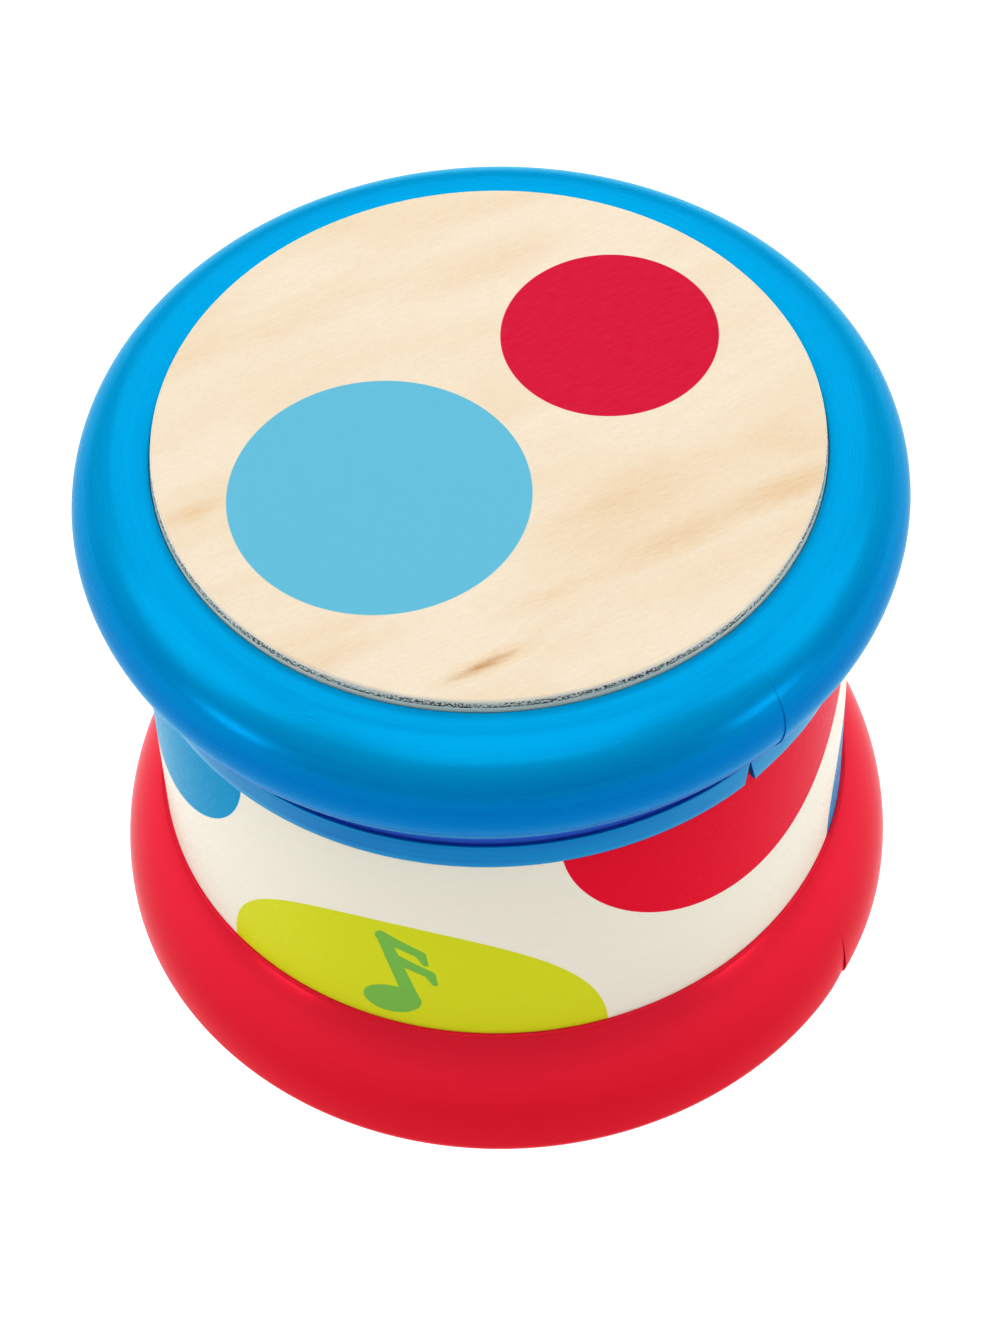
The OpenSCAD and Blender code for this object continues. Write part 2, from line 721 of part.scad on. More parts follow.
module switch_body() color("DarkSlateGray") translate([switch_x, switch_y, tray_top]) difference() {
    translate([-case_l / 2, -case_w / 2, 0]) cube([case_l, case_w, case_h]);
    translate([-case_l / 2 + case_wall, -case_w / 2 + case_wall, case_floor])
        cube([case_l - 2 * case_wall, case_w - 2 * case_wall, shuttle_t + 2 * slide_gap]);
    translate([-slot_l / 2, -slot_w / 2, -1]) cube([slot_l, slot_w, case_floor + 2]);
}

module power_slider() color("White") translate([switch_x - slide_travel / 2, switch_y, 0]) {
    z = tray_top + case_floor + slide_gap;
    difference() {
        translate([-grip_l / 2, -grip_w / 2, foot_h - grip_out])
            cube([grip_l, grip_w, z - foot_h + grip_out + 1]);
        for (i = [-1:1])
            translate([(i * 2 - 0.5) * groove_w, -grip_w, foot_h - grip_out - 1])
                cube([groove_w, 2 * grip_w, 1.4]);
    }
    translate([-shuttle_l / 2, -shuttle_w / 2, z]) cube([shuttle_l, shuttle_w, shuttle_t]);
}

// Wires

module power_wires() color("Red") {
    tail_y = bay_y + bay_wall + tail_l * 0.6;
    tail_z = cell_z + tail_up + plate_t;
    plug = [-plug_x, plug_y, board_bot - plug_h];
    case_top = tray_top + case_h;
    pull = [0, 0, (plug[2] - tail_z) * 0.45];
    hop = [0, 0, cell_d];
    pin = [plug_l / 5, 0, 0];
    lead(plug - pin, -pull, [-bay_x - cell_pitch / 2, tail_y, tail_z], pull, [1, 0, 0]);
    lead(plug + pin, -pull, [switch_x - case_l / 5, switch_y, case_top], pull, [1, 0, 0]);
    lead([-bay_x + cell_pitch / 2, tail_y, tail_z], hop,
        [switch_x - case_l * 0.4, switch_y, case_top], hop, [0, 1, 0]);
}

module speaker_wires() color("Black") {
    plug = [plug_x, plug_y, board_bot - plug_h];
    tag = [speaker_x, tag_y, speaker_z + tag_top];
    pull = [0, 0, (plug[2] - tag[2]) * 0.45];
    for (x = [-1, 1])
        lead(plug + [x * plug_l / 5, 0, 0], -pull, tag + [x * tag_w * 0.29, 0, 0], pull, [1, 0, 0]);
}

drum_head();
top_rim();
shell();
bottom_rim();
head_carrier();
head_springs();
post_washers();
post_screws();
top_deck();
circuit_board();
board_parts();
board_screws();
switch_dome();
bottom_tray();
case_screws();
speaker_frame();
speaker_magnet();
speaker_cone();
speaker_gasket();
speaker_screws();
battery_door();
door_screw();
battery_cells();
contact_plates();
contact_springs();
switch_body();
power_slider();
power_wires();
speaker_wires();
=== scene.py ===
"""Dresses the solids of a small baby's drum: a printed plywood head in a glossy blue rim, a printed
shell, a red foot rim, the works inside, and the studio that it is seen in. Metres, Z up."""

import math

import bmesh
import bpy
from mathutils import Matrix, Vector


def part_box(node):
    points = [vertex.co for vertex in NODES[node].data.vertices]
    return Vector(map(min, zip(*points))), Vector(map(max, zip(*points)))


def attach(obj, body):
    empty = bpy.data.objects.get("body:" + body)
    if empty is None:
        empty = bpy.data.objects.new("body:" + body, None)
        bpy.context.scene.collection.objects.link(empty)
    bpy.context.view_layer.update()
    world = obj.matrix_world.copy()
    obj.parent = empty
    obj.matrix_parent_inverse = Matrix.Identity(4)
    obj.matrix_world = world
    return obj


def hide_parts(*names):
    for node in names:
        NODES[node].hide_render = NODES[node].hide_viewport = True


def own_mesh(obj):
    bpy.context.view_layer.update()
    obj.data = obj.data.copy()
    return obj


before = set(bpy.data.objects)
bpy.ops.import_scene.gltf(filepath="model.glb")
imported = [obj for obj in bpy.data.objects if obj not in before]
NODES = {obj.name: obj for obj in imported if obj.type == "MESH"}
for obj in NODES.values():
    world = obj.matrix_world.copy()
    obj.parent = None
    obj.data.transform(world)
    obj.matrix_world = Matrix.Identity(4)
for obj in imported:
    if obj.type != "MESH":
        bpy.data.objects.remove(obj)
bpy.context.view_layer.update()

bl_info = {
    "name": "Toy drum",
    "version": (1, 0, 0),
    "blender": (4, 5, 0),
    "location": "3D View > Sidebar > Toy drum",
    "description": "Gives the solids of a toy drum their prints, finishes, springs, leads and studio",
    "category": "Object",
}

MM = 0.001
TURN = 2 * math.pi
PHOTO_H = 1333  # height of the photo, in pixels
PICTURE_H = 36  # height of the camera's picture, in millimetres

# Sizes that the solids already have
HEAD_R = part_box("drum_head")[1].x
HEAD_BOTTOM, HEAD_TOP = (corner.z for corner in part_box("drum_head"))
SHELL_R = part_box("shell")[1].x
SHELL_BOTTOM, SHELL_TOP = (corner.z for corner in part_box("shell"))
BOX_ROOM = 0.01 * MM  # keeps the rims inside the solids' box
RIM_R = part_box("top_rim")[1].x - BOX_ROOM
SKIRT_FOOT, RIM_CREST = (corner.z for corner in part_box("top_rim"))
FLARE_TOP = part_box("bottom_rim")[1].z
TRAY_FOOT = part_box("bottom_tray")[0].z
DECK_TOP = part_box("top_deck")[1].z


# Properties


def srgb(red, green, blue):
    """A screen colour of 0 to 255 as the linear colour that shaders use."""

    def linear(value):
        share = value / 255
        return share / 12.92 if share <= 0.04045 else ((share + 0.055) / 1.055) ** 2.4

    return (linear(red), linear(green), linear(blue), 1.0)


def length(name, text, default):
    """A length in metres."""
    return bpy.props.FloatProperty(
        name=name, description=text, default=default, unit="LENGTH", precision=5
    )


def lengths(name, text, default):
    """Two lengths in metres, across and up."""
    return bpy.props.FloatVectorProperty(
        name=name, description=text, default=default, size=2, unit="LENGTH", precision=5
    )


def number(name, text, default):
    """A plain number."""
    return bpy.props.FloatProperty(name=name, description=text, default=default, min=0)


def turn(name, text, degrees):
    """An angle, given in degrees."""
    return bpy.props.FloatProperty(
        name=name, description=text, default=math.radians(degrees), subtype="ANGLE"
    )


def colour(name, text, default):
    """A colour, given as a screen colour of 0 to 255."""
    return bpy.props.FloatVectorProperty(
        name=name, description=text, default=srgb(*default), size=4, subtype="COLOR", min=0, max=1
    )


def power(name, text, default):
    """The power of a light."""
    return bpy.props.FloatProperty(
        name=name, description=text, default=default, min=0, unit="POWER"
    )


class DrumHeadProps(bpy.types.PropertyGroup):
    """The plywood head and its two printed spots"""

    face_ply: length("Face ply", "Thickness of the outer veneers", 0.5 * MM)
    cross_ply: length("Cross ply", "Thickness of the crossing veneers", 0.85 * MM)
    edge_round: length("Edge round", "Round on the head's edges", 0.4 * MM)
    draft: length("Draft", "Lean of the upper half of the head's edge", 0.35 * MM)
    glue_line: length("Glue line", "Depth of the line between two plies", 0.01 * MM)
    grain: turn("Grain", "Direction of the grain, from +X towards +Y", 26)
    pale: colour("Pale wood", "Most of the face veneer", (232, 221, 203))
    tan: colour("Tan wood", "Bands in the face veneer", (224, 202, 172))
    amber: colour("Amber bands", "Soft dark bands in the face veneer", (216, 180, 132))
    brown: colour("Brown streaks", "Mineral streaks in the face veneer", (186, 136, 82))
    edge: colour("Edge", "Side grain of the plies at the edge", (255, 243, 226))
    end_grain: colour("End grain", "Crossing ply at the edge", (255, 246, 232))
    pore: colour("Pores", "Open pores in the crossing ply", (96, 88, 78))
    blue: colour("Blue ink", "Large printed spot", (108, 186, 210))
    blue_at: lengths("Blue spot place", "Middle of the blue spot", (-15.9 * MM, -11.0 * MM))
    blue_r: length("Blue spot radius", "Radius of the blue spot", 21.9 * MM)
    red: colour("Red ink", "Small printed spot", (206, 16, 68))
    red_at: lengths("Red spot place", "Middle of the red spot", (18.6 * MM, 18.0 * MM))
    red_r: length("Red spot radius", "Radius of the red spot", 16.1 * MM)


class DrumRimProps(bpy.types.PropertyGroup):
    """The blue rim round the head and the red rim at the foot"""

    bead_r: length("Bead radius", "Radius of the blue rim's round section", 9.9 * MM)
    bore_gap: length("Head gap", "Gap between the blue rim and the head", 0.08 * MM)
    fit: length("Fit", "Gap between the rims and the shell", 0.01 * MM)
    skirt_wall: length("Skirt wall", "Thickness of the blue rim's skirt", 1.1 * MM)
    ledge: length("Ledge", "Width of the ledge on the skirt, under the bead", 0.5 * MM)
    ledge_z: length("Ledge height", "Height of the ledge on the skirt", 74.0 * MM)
    # Painted light and shade: the bead is the lighter crest blue high up and deepens to the deep blue
    # low on it
    blue: colour("Blue", "Blue rim, at its crest", (0, 168, 217))
    blue_painted_shade: colour("Deep blue", "Blue rim, low on its bead", (0, 138, 204))
    skirt: colour("Skirt blue", "Blue rim's skirt", (0, 148, 204))
    skirt_deep: colour("Deep skirt blue", "Streaks in the blue rim's skirt", (0, 108, 184))
    # Painted shade: the groove's wall goes darker and more violet towards its foot
    groove: colour("Groove", "Foot of the groove between the bead and the skirt", (66, 106, 200))
    blue_seam: turn("Blue seam", "Place of the blue rim's seam, from +X", -50)
    lip: length("Flare lip", "Thickness of the red rim at its top edge", 0.5 * MM)
    flank_r: length("Flank radius", "Radius of the red rim's bulging flank", 32 * MM)
    foot_round: length("Foot round", "Round at the red rim's foot", 3.3 * MM)
    foot_ledge: length("Foot ledge", "Reach of the red rim under the tray", 4.5 * MM)
    # Painted light: the red rim is lighter at its top edge, against the shade under the blue rim, and
    # deeper on its flank
    red: colour("Red", "Red rim, at its top edge", (244, 60, 84))
    red_deep: colour("Deep red", "Red rim, on its flank and foot", (224, 46, 68))
    red_seam: turn("Red seam", "Place of the red rim's seam, from +X", -31)
    seam: length("Seam", "Gap where the ends of a rim meet", 0.015 * MM)


class DrumShellProps(bpy.types.PropertyGroup):
    """The printed shell; places on it run right from the front, and up from the floor"""

    wall: length("Wall", "Thickness of the shell", 3 * MM)
    cream: colour("Cream", "Ground of the print", (242, 238, 224))
    cream_deep: colour("Deep cream", "Faint grain in the ground of the print", (238, 232, 216))
    dust: colour("Dust", "Faint flecks in the lacquer", (120, 110, 95))
    spot: lengths("Spot size", "Half the width and half the height of a spot", (31.5 * MM, 27.6 * MM))
    low: length("Low row", "Height of the lower spots' middles", 22.7 * MM)
    high: length("High row", "Height of the upper spots' middles", 70.9 * MM)
    lime_at: length("Lime spot", "Place of the lime spot on the low row", -17.3 * MM)
    lime: colour("Lime ink", "Lime spots", (219, 223, 55))
    red: colour("Red ink", "Red spots", (231, 32, 66))
    blue: colour("Blue ink", "Blue spots", (0, 160, 206))
    note: colour("Note ink", "Note on the lime spot", (138, 195, 97))
    note_at: lengths("Note place", "Foot of the note's stem", (-15.6 * MM, 31.0 * MM))
    note_h: length("Note height", "Length of the note's stem", 16 * MM)
    note_lean: turn("Note lean", "Lean of the note to the left", 14)
    note_flag: lengths("Note flag", "Reach of a flag across and up", (5.6 * MM, -2.8 * MM))


class DrumWorksProps(bpy.types.PropertyGroup):
    """The pieces inside and under the drum"""

    white: colour("White plastic", "Carrier, deck and slider", (236, 236, 232))
    red: colour("Red plastic", "Tray and battery door", (206, 26, 40))
    dark: colour("Dark plastic", "Switch body and the parts on the board", (38, 38, 42))
    board: colour("Board", "Lacquer of the sound board", (24, 104, 62))
    board_deep: colour("Deep board", "Fibres under the sound board's lacquer", (14, 70, 40))
    steel: colour("Steel", "Screws, washers, springs and contacts", (206, 207, 204))
    pressed: colour("Pressed steel", "Frame of the speaker", (188, 188, 188))
    magnet: colour("Magnet", "Magnet of the speaker", (62, 62, 66))
    cone: colour("Cone", "Cone of the speaker", (46, 44, 42))
    foam: colour("Foam", "Gasket of the speaker", (40, 40, 40))
    rubber: colour("Rubber", "Dome under the plunger", (224, 222, 214))
    jacket: colour("Cell jacket", "Jacket of the cells", (40, 46, 56))
    scuff: colour("Cell scuffs", "Scuffs on the jacket of the cells", (150, 150, 150))
    band: colour("Cell band", "Band at the stud end of the cells", (196, 138, 62))
    band_l: length("Cell band length", "Length of the band on the cells", 13 * MM)
    lead: colour("Power leads", "Insulation of the power leads", (196, 32, 34))
    lead_dark: colour("Speaker leads", "Insulation of the speaker leads", (30, 30, 32))
    spring_d: length("Return spring", "Outside diameter of a return spring", 8.8 * MM)
    spring_wire: length("Return wire", "Wire of a return spring", 0.8 * MM)
    spring_turns: number("Return turns", "Turns of a return spring", 3)
    contact_l: length("Contact spring", "Length of a contact spring", 6.4 * MM)
    contact_taper: number("Contact taper", "Radius of a contact spring at its cell, as a share", 0.72)
    contact_wire: length("Contact wire", "Wire of a contact spring", 0.6 * MM)
    contact_turns: number("Contact turns", "Turns of a contact spring", 3)


class DrumStageProps(bpy.types.PropertyGroup):
    """Floor, lights and camera"""

    floor: colour("Floor", "Plain pale floor", (160, 160, 160))
    top: power("Top light", "Soft light above the drum", 2.2)
    back: power("Back light", "Wide soft light above and behind the drum", 3.3)
    side: power("Side lights", "Soft lights to the left and right", 1.95)
    low: power("Low lights", "Small soft lights low at the front corners", 0.45)
    under: power("Under light", "Soft light under the floor sheet, for the open door", 2.4)
    sky: number("Room light", "Even light from all sides", 0.03)
    glow: number("Floor glow", "Light through the floor sheet", 0.75)
    aim: length("Aim", "Height that the camera aims at", 46.1 * MM)
    distance: length("Distance", "Distance of the camera", 612.5 * MM)
    rise: turn("Rise", "Angle of the camera above the floor", 52.06)
    roll: turn("Roll", "Roll of the camera, clockwise", 2.711)
    focus: length("Focal length", "Focal length on a picture 36 mm high", 106.56 * MM)
    shift: bpy.props.FloatVectorProperty(
        name="Shift",
        description="Shift of the picture right and up, as shares of its height",
        default=(1.4 / PHOTO_H, -5.4 / PHOTO_H),
        size=2,
        precision=5,
    )


class DrumProps(bpy.types.PropertyGroup):
    """Everything about the drum that a user may change"""

    head: bpy.props.PointerProperty(type=DrumHeadProps)
    rims: bpy.props.PointerProperty(type=DrumRimProps)
    shell: bpy.props.PointerProperty(type=DrumShellProps)
    works: bpy.props.PointerProperty(type=DrumWorksProps)
    stage: bpy.props.PointerProperty(type=DrumStageProps)


# Shapes


def arc(centre, radius, start, end, steps):
    """Points on an arc in the plane of radius and height, angles in radians."""
    points = []
    for i in range(steps + 1):
        a = start + (end - start) * i / steps
        points.append((centre[0] + radius * math.cos(a), centre[1] + radius * math.sin(a)))
    return points


def rounded(before, point, after, steps=5):
    """Points that round a corner between two points on its sides."""
    points = []
    for i in range(steps + 1):
        t = i / steps
        weights = ((1 - t) ** 2, 2 * t * (1 - t), t * t)
        points.append(
            tuple(sum(w * p[k] for w, p in zip(weights, (before, point, after))) for k in (0, 1))
        )
    return points


def shaped(name, bm, weld=0.0001 * MM, sharp=math.radians(40)):
    """The object of a finished mesh, welded, and smooth except at sharp edges."""
    bmesh.ops.remove_doubles(bm, verts=bm.verts, dist=weld)
    bmesh.ops.recalc_face_normals(bm, faces=bm.faces)
    mesh = bpy.data.meshes.new(name)
    bm.to_mesh(mesh)
    bm.free()
    mesh.shade_smooth()
    mesh.set_sharp_from_angle(angle=sharp)
    piece = bpy.data.objects.new(name, mesh)
    bpy.context.scene.collection.objects.link(piece)
    return piece


def turned(name, outline, steps, axis=False):
    """A closed turned piece. With axis, the outline starts and ends on the drum's axis."""
    bm = bmesh.new()
    rings = []
    for i in range(steps):
        a = TURN * i / steps
        rings.append([bm.verts.new((r * math.cos(a), r * math.sin(a), z)) for r, z in outline])
    last = len(outline) - 1 if axis else len(outline)
    for i, ring in enumerate(rings):
        after = rings[(i + 1) % steps]
        for k in range(last):
            j = (k + 1) % len(outline)
            bm.faces.new((ring[k], ring[j], after[j], after[k]))
    return shaped(name, bm)


def inset_outline(outline, depth):
    """A closed outline moved inwards by a small depth, whichever way round its points run."""
    n = len(outline)
    area = sum(
        outline[k][0] * outline[(k + 1) % n][1] - outline[(k + 1) % n][0] * outline[k][1]
        for k in range(n)
    )
    way = math.copysign(depth, area)
    moved = []
    for k, point in enumerate(outline):
        along = Vector(outline[(k + 1) % n]) - Vector(outline[k - 1])
        along.normalize()
        moved.append((point[0] - way * along.y, point[1] + way * along.x))
    return moved


def bridge(bm, rings):
    """Joins rings of points by faces, and closes the first ring and the last."""
    count = len(rings[0])
    for ring, after in zip(rings, rings[1:]):
        for k in range(count):
            j = (k + 1) % count
            bm.faces.new((ring[k], ring[j], after[j], after[k]))
    bm.faces.new(rings[0])
    bm.faces.new(rings[-1])


def wrapped_rim(name, outline, seam_at, seam, *, shifts, fade, notch_up, notch_out, steps=240):
    """A profile wrapped into a ring whose two rounded ends meet at a seam.

    The ends are out of line by shifts along radius and height, which fade upwards from the foot.
    The seam opens into a notch at the foot, notch_up high and notch_out to each side.
    """
    end_round = 0.1 * MM
    end_inset = 0.012 * MM
    near = [d * MM for d in (0, 0.03, 0.06, 0.1, 0.8, 2, 4, 7)]
    foot = min(z for _, z in outline)
    reach = near[-1]
    half_slit = seam / 2 / RIM_R
    total = (TURN - 2 * half_slit) * RIM_R
    inner = [reach + (total - 2 * reach) * i / steps for i in range(1, steps)]
    stations = near + inner + [total - d for d in reversed(near)]
    bm = bmesh.new()
    rings = []
    for d in stations:
        ahead = d < total / 2
        gap = d if ahead else total - d
        fall = max(0.0, 1 - gap / end_round)
        section = inset_outline(outline, end_inset * fall * fall) if fall else outline
        ease = max(0.0, 1 - gap / reach) ** 2
        shift = shifts[0 if ahead else 1]
        ring = []
        for r, z in section:
            up = z - foot
            lower = ease * max(0.0, 1 - up / fade)
            opened = ease * notch_out * max(0.0, 1 - up / notch_up)
            a = seam_at + half_slit + (d + (opened if ahead else -opened)) / RIM_R
            out = r + lower * shift[0]
            ring.append(bm.verts.new((out * math.cos(a), out * math.sin(a), z + lower * shift[1])))
        rings.append(ring)
    bridge(bm, rings)
    return shaped(name, bm)


def tube(bm, points, radius, sides=12):
    """Adds a closed round wire along points to a mesh."""
    rings = []
    side = None
    for i, point in enumerate(points):
        along = (points[min(i + 1, len(points) - 1)] - points[max(i - 1, 0)]).normalized()
        if side is None:
            side = along.orthogonal().normalized()
        side = (side - along * side.dot(along)).normalized()
        up = along.cross(side)
        ring = []
        for k in range(sides):
            a = TURN * k / sides
            ring.append(bm.verts.new(point + radius * (math.cos(a) * side + math.sin(a) * up)))
        rings.append(ring)
    bridge(bm, rings)


def coil(foot, axis, across, radii, height, wire, turns, turn_steps=40):
    """Points along a coil from its foot, its mean radius changing from the first radius to the last."""
    steps = round(turn_steps * turns)
    other = axis.cross(across)
    points = []
    for i in range(steps + 1):
        t = i / steps
        a = TURN * turns * t
        r = radii[0] + (radii[1] - radii[0]) * t
        rise = wire / 2 + (height - wire) * t
        points.append(foot + axis * rise + r * (math.cos(a) * across + math.sin(a) * other))
    return points


def smooth_copy(node, name, levels=2):
    """A rounder copy of a solid's mesh, for leads."""
    bm = bmesh.new()
    bm.from_mesh(NODES[node].data)
    piece = shaped(name, bm, weld=0.001 * MM)
    divide = piece.modifiers.new("Rounder", "SUBSURF")
    divide.levels = divide.render_levels = levels
    return piece


# Finishes

WHITE = (1.0, 1.0, 1.0, 1.0)
INK_EDGE = 0.06  # half the width of an inked shape's soft edge, in mm
STROKE_EDGE = 0.05  # the same for a stroke
NOWHERE = (0.0, -1.0)  # heights under the floor, where a rim's second colour never starts
# The groove's slot holds painted shade, darker and more violet towards the groove's foot
SKIRT, GROOVE_SHADE = 1, 2  # material slots of the blue rim, after its bead
BLUE_SHINE = (0.0, 1.0, 0.85)
RED_SHINE = (1.0, 0.1, 0.15)


def shaded(main, share, lift=0.0):
    """A colour times a share, plus a lift."""
    return tuple(min(1.0, share * value + lift) for value in main[:3]) + (1.0,)


class Finish:
    """A material, with short calls that add its nodes. Places are in millimetres."""

    def __init__(self, name):
        self.material = bpy.data.materials.new(name)
        self.material.use_nodes = True
        self.tree = self.material.node_tree
        self.shader = self.tree.nodes["Principled BSDF"]

    def put(self, socket, value):
        """Links a socket to a node's output, or sets it."""
        if isinstance(value, bpy.types.NodeSocket):
            self.tree.links.new(value, socket)
        else:
            socket.default_value = value

    def set(self, **inputs):
        """Sets or links inputs of the shader, named in lower case with underscores."""
        known = {socket.name.lower().replace(" ", "_"): socket for socket in self.shader.inputs}
        for name, value in inputs.items():
            self.put(known[name], value)

    def add(self, kind, inputs, output=0, **settings):
        """Adds a node and returns one of its outputs."""
        node = self.tree.nodes.new(kind)
        for name, value in settings.items():
            setattr(node, name, value)
        for key, value in inputs.items():
            self.put(node.inputs[key], value)
        return node.outputs[output]

    def math(self, operation, *values):
        """Arithmetic on numbers."""
        return self.add("ShaderNodeMath", dict(enumerate(values)), operation=operation)

    def vector(self, operation, *values, output=0):
        """Arithmetic on vectors."""
        return self.add(
            "ShaderNodeVectorMath", dict(enumerate(values)), output, operation=operation
        )

    def join(self, x, y, z=0.0):
        """A vector of three numbers."""
        return self.add("ShaderNodeCombineXYZ", {0: x, 1: y, 2: z})

    def parts(self, vector):
        """The three numbers of a vector."""
        node = self.tree.nodes.new("ShaderNodeSeparateXYZ")
        self.put(node.inputs[0], vector)
        return node.outputs

    def place(self):
        """The place on the piece."""
        node = self.tree.nodes.new("ShaderNodeTexCoord")
        return self.stretch(node.outputs["Object"], (1 / MM,) * 3)

    def facing(self):
        """The three parts of the way that the surface faces."""
        node = self.tree.nodes.new("ShaderNodeNewGeometry")
        return self.parts(node.outputs["Normal"])

    def around(self, radius):
        """The place as it runs round the drum's axis: along the round, height and radius."""
        x, y, z = self.parts(self.place())
        bearing = self.math("ARCTAN2", x, self.math("MULTIPLY", y, -1.0))
        along = self.math("MULTIPLY", bearing, radius / MM)
        out = self.vector("LENGTH", self.join(x, y), output=1)
        return self.join(along, z, out)

    def stretch(self, vector, scales):
        """A vector multiplied by three scales."""
        return self.vector("MULTIPLY", vector, scales)

    def rotate(self, vector, angle):
        """A vector turned about Z."""
        return self.add(
            "ShaderNodeVectorRotate", {"Vector": vector, "Angle": angle}, rotation_type="Z_AXIS"
        )

    def noise(self, vector, lumps, detail, rough, bend=0.0):
        """Even noise with about that many lumps per millimetre along each axis."""
        inputs = {"Scale": 1.0, "Detail": detail, "Roughness": rough, "Distortion": bend}
        return self.add("ShaderNodeTexNoise", {"Vector": self.stretch(vector, lumps), **inputs})

    def cells(self, vector, lumps, spread):
        """Distance to the middles of cells, about that many per millimetre along each axis."""
        inputs = {"Vector": self.stretch(vector, lumps), "Randomness": spread}
        return self.add("ShaderNodeTexVoronoi", inputs)

    def ramp(self, value, low, high, start=0.0, end=1.0):
        """A number that goes from start to end while the value goes from low to high."""
        return self.add("ShaderNodeMapRange", {0: value, 1: low, 2: high, 3: start, 4: end})

    def mix(self, share, first, second):
        """A colour between two colours."""
        return self.add(
            "ShaderNodeMix", {0: share, 6: first, 7: second}, 2, data_type="RGBA"
        )

    def bump(self, height, depth):
        """A surface whose height moves by about that depth, in metres."""
        return self.add("ShaderNodeBump", {"Height": height, "Distance": depth, "Strength": 1.0})

    def dress(self, piece):
        """Puts the finish on a piece."""
        piece.data.materials.clear()
        piece.data.materials.append(self.material)


def veneer_colour(finish, props, grain, fibres, specks):
    """The face veneer: bands, fibres and specks of a deeper tone, and a few soft marks."""
    bands = finish.noise(grain, (0.02, 0.07, 0.07), detail=4, rough=0.55, bend=0.5)
    tone = finish.math(
        "ADD", finish.ramp(bands, 0.42, 0.75, end=0.6), finish.ramp(fibres, 0.35, 0.75, end=0.34)
    )
    tone = finish.math("ADD", tone, finish.ramp(specks, 0.5, 0.8, end=0.42))
    face = finish.mix(tone, props.pale, props.tan)
    # Marks: middle along X and Y, half length and half width in mm, strength, colour
    marks = (
        (17.7, -14.4, 14.0, 4.5, 0.40, props.amber),
        (26.0, -21.8, 11.0, 2.4, 0.50, props.amber),
        (43.0, -13.0, 9.0, 2.6, 0.60, props.amber),
        (8.0, -30.5, 9.0, 1.8, 0.30, props.amber),
        (-42.6, -12.6, 4.0, 1.6, 0.50, props.amber),
        (-20.0, -38.5, 9.0, 2.0, 0.25, props.amber),
        (2.0, 33.0, 14.0, 2.5, 0.20, props.amber),
        (-30.0, 22.0, 15.0, 2.5, 0.18, props.amber),
        (-1.6, -42.4, 7.0, 1.5, 0.60, props.amber),
        (-2.2, -42.7, 4.5, 0.7, 0.70, props.brown),
    )
    ragged = finish.ramp(fibres, 0.3, 0.6, start=0.5)
    cos, sin = math.cos(props.grain), math.sin(props.grain)
    for x, y, half_l, half_w, strength, ink in marks:
        middle = (cos * x + sin * y, cos * y - sin * x, 0)
        away = finish.vector("SUBTRACT", grain, middle)
        away = finish.stretch(away, (1 / half_l, 1 / half_w, 0))
        far = finish.vector("LENGTH", away, output=1)
        soft = finish.ramp(far, 0.1, 1.4, start=strength, end=0)
        face = finish.mix(finish.math("MULTIPLY", soft, ragged), face, ink)
    return face


def spotted(finish, props, face, place, fibres):
    """Two inked spots on the top of the head."""
    x, y, z = finish.parts(place)
    flat = finish.join(x, y)
    on_top = finish.math("GREATER_THAN", z, (HEAD_BOTTOM + HEAD_TOP) / 2 / MM)
    paler = finish.ramp(fibres, 0.3, 0.75, end=0.02)
    for middle, radius, ink in (
        (props.blue_at, props.blue_r, props.blue),
        (props.red_at, props.red_r, props.red),
    ):
        far = finish.vector("DISTANCE", flat, (middle[0] / MM, middle[1] / MM, 0), output=1)
        inside = finish.ramp(far, radius / MM + INK_EDGE, radius / MM - INK_EDGE)
        spot = finish.math("MULTIPLY", inside, on_top)
        face = finish.mix(spot, face, finish.mix(paler, ink, WHITE))
    return face


def edged(finish, props, face, place):
    """Plies that show in turn at the head's edge, side grain and end grain with open pores."""
    x, y, z = finish.parts(place)
    _, _, upright = finish.facing()
    edge = finish.ramp(finish.math("ABSOLUTE", upright), 0.85, 0.6)
    half = (HEAD_TOP - HEAD_BOTTOM) / 2 / MM
    from_middle = finish.math("ABSOLUTE", finish.math("SUBTRACT", z, HEAD_TOP / MM - half))
    below_face = finish.math("LESS_THAN", from_middle, half - props.face_ply / MM)
    in_core = finish.math("LESS_THAN", from_middle, half - (props.face_ply + props.cross_ply) / MM)
    crossing = finish.math("SUBTRACT", below_face, in_core)
    bearing = finish.math("MULTIPLY", finish.math("ARCTAN2", x, y), HEAD_R / MM)
    wrapped = finish.join(bearing, z)
    pores = finish.ramp(finish.noise(wrapped, (2.2, 2.8, 1), detail=3, rough=0.7), 0.55, 0.47)
    patches = finish.ramp(finish.noise(wrapped, (0.07, 1, 1), detail=3, rough=0.6), 0.72, 0.46)
    open_pores = finish.math("MULTIPLY", pores, patches)
    end_grain = finish.mix(open_pores, props.end_grain, props.pore)
    return finish.mix(edge, face, finish.mix(crossing, props.edge, end_grain))


def wood_finish(props):
    """Pale face veneer with two inked spots, over the plies at the edge."""
    finish = Finish("head_wood")
    place = finish.place()
    grain = finish.rotate(place, -props.grain)
    fibres = finish.noise(grain, (0.4, 2.0, 2.0), detail=4, rough=0.65)
    specks = finish.noise(grain, (1.3, 4.0, 4.0), detail=2, rough=0.6)
    face = veneer_colour(finish, props, grain, fibres, specks)
    face = spotted(finish, props, face, place, fibres)
    relief = finish.math("ADD", fibres, finish.math("MULTIPLY", specks, 0.5))
    finish.set(
        base_color=edged(finish, props, face, place),
        roughness=finish.ramp(fibres, 0.2, 0.8, start=0.5, end=0.38),
        specular_ior_level=0.2,
        specular_tint=props.pale,
        normal=finish.bump(relief, 0.015 * MM),
    )
    return finish


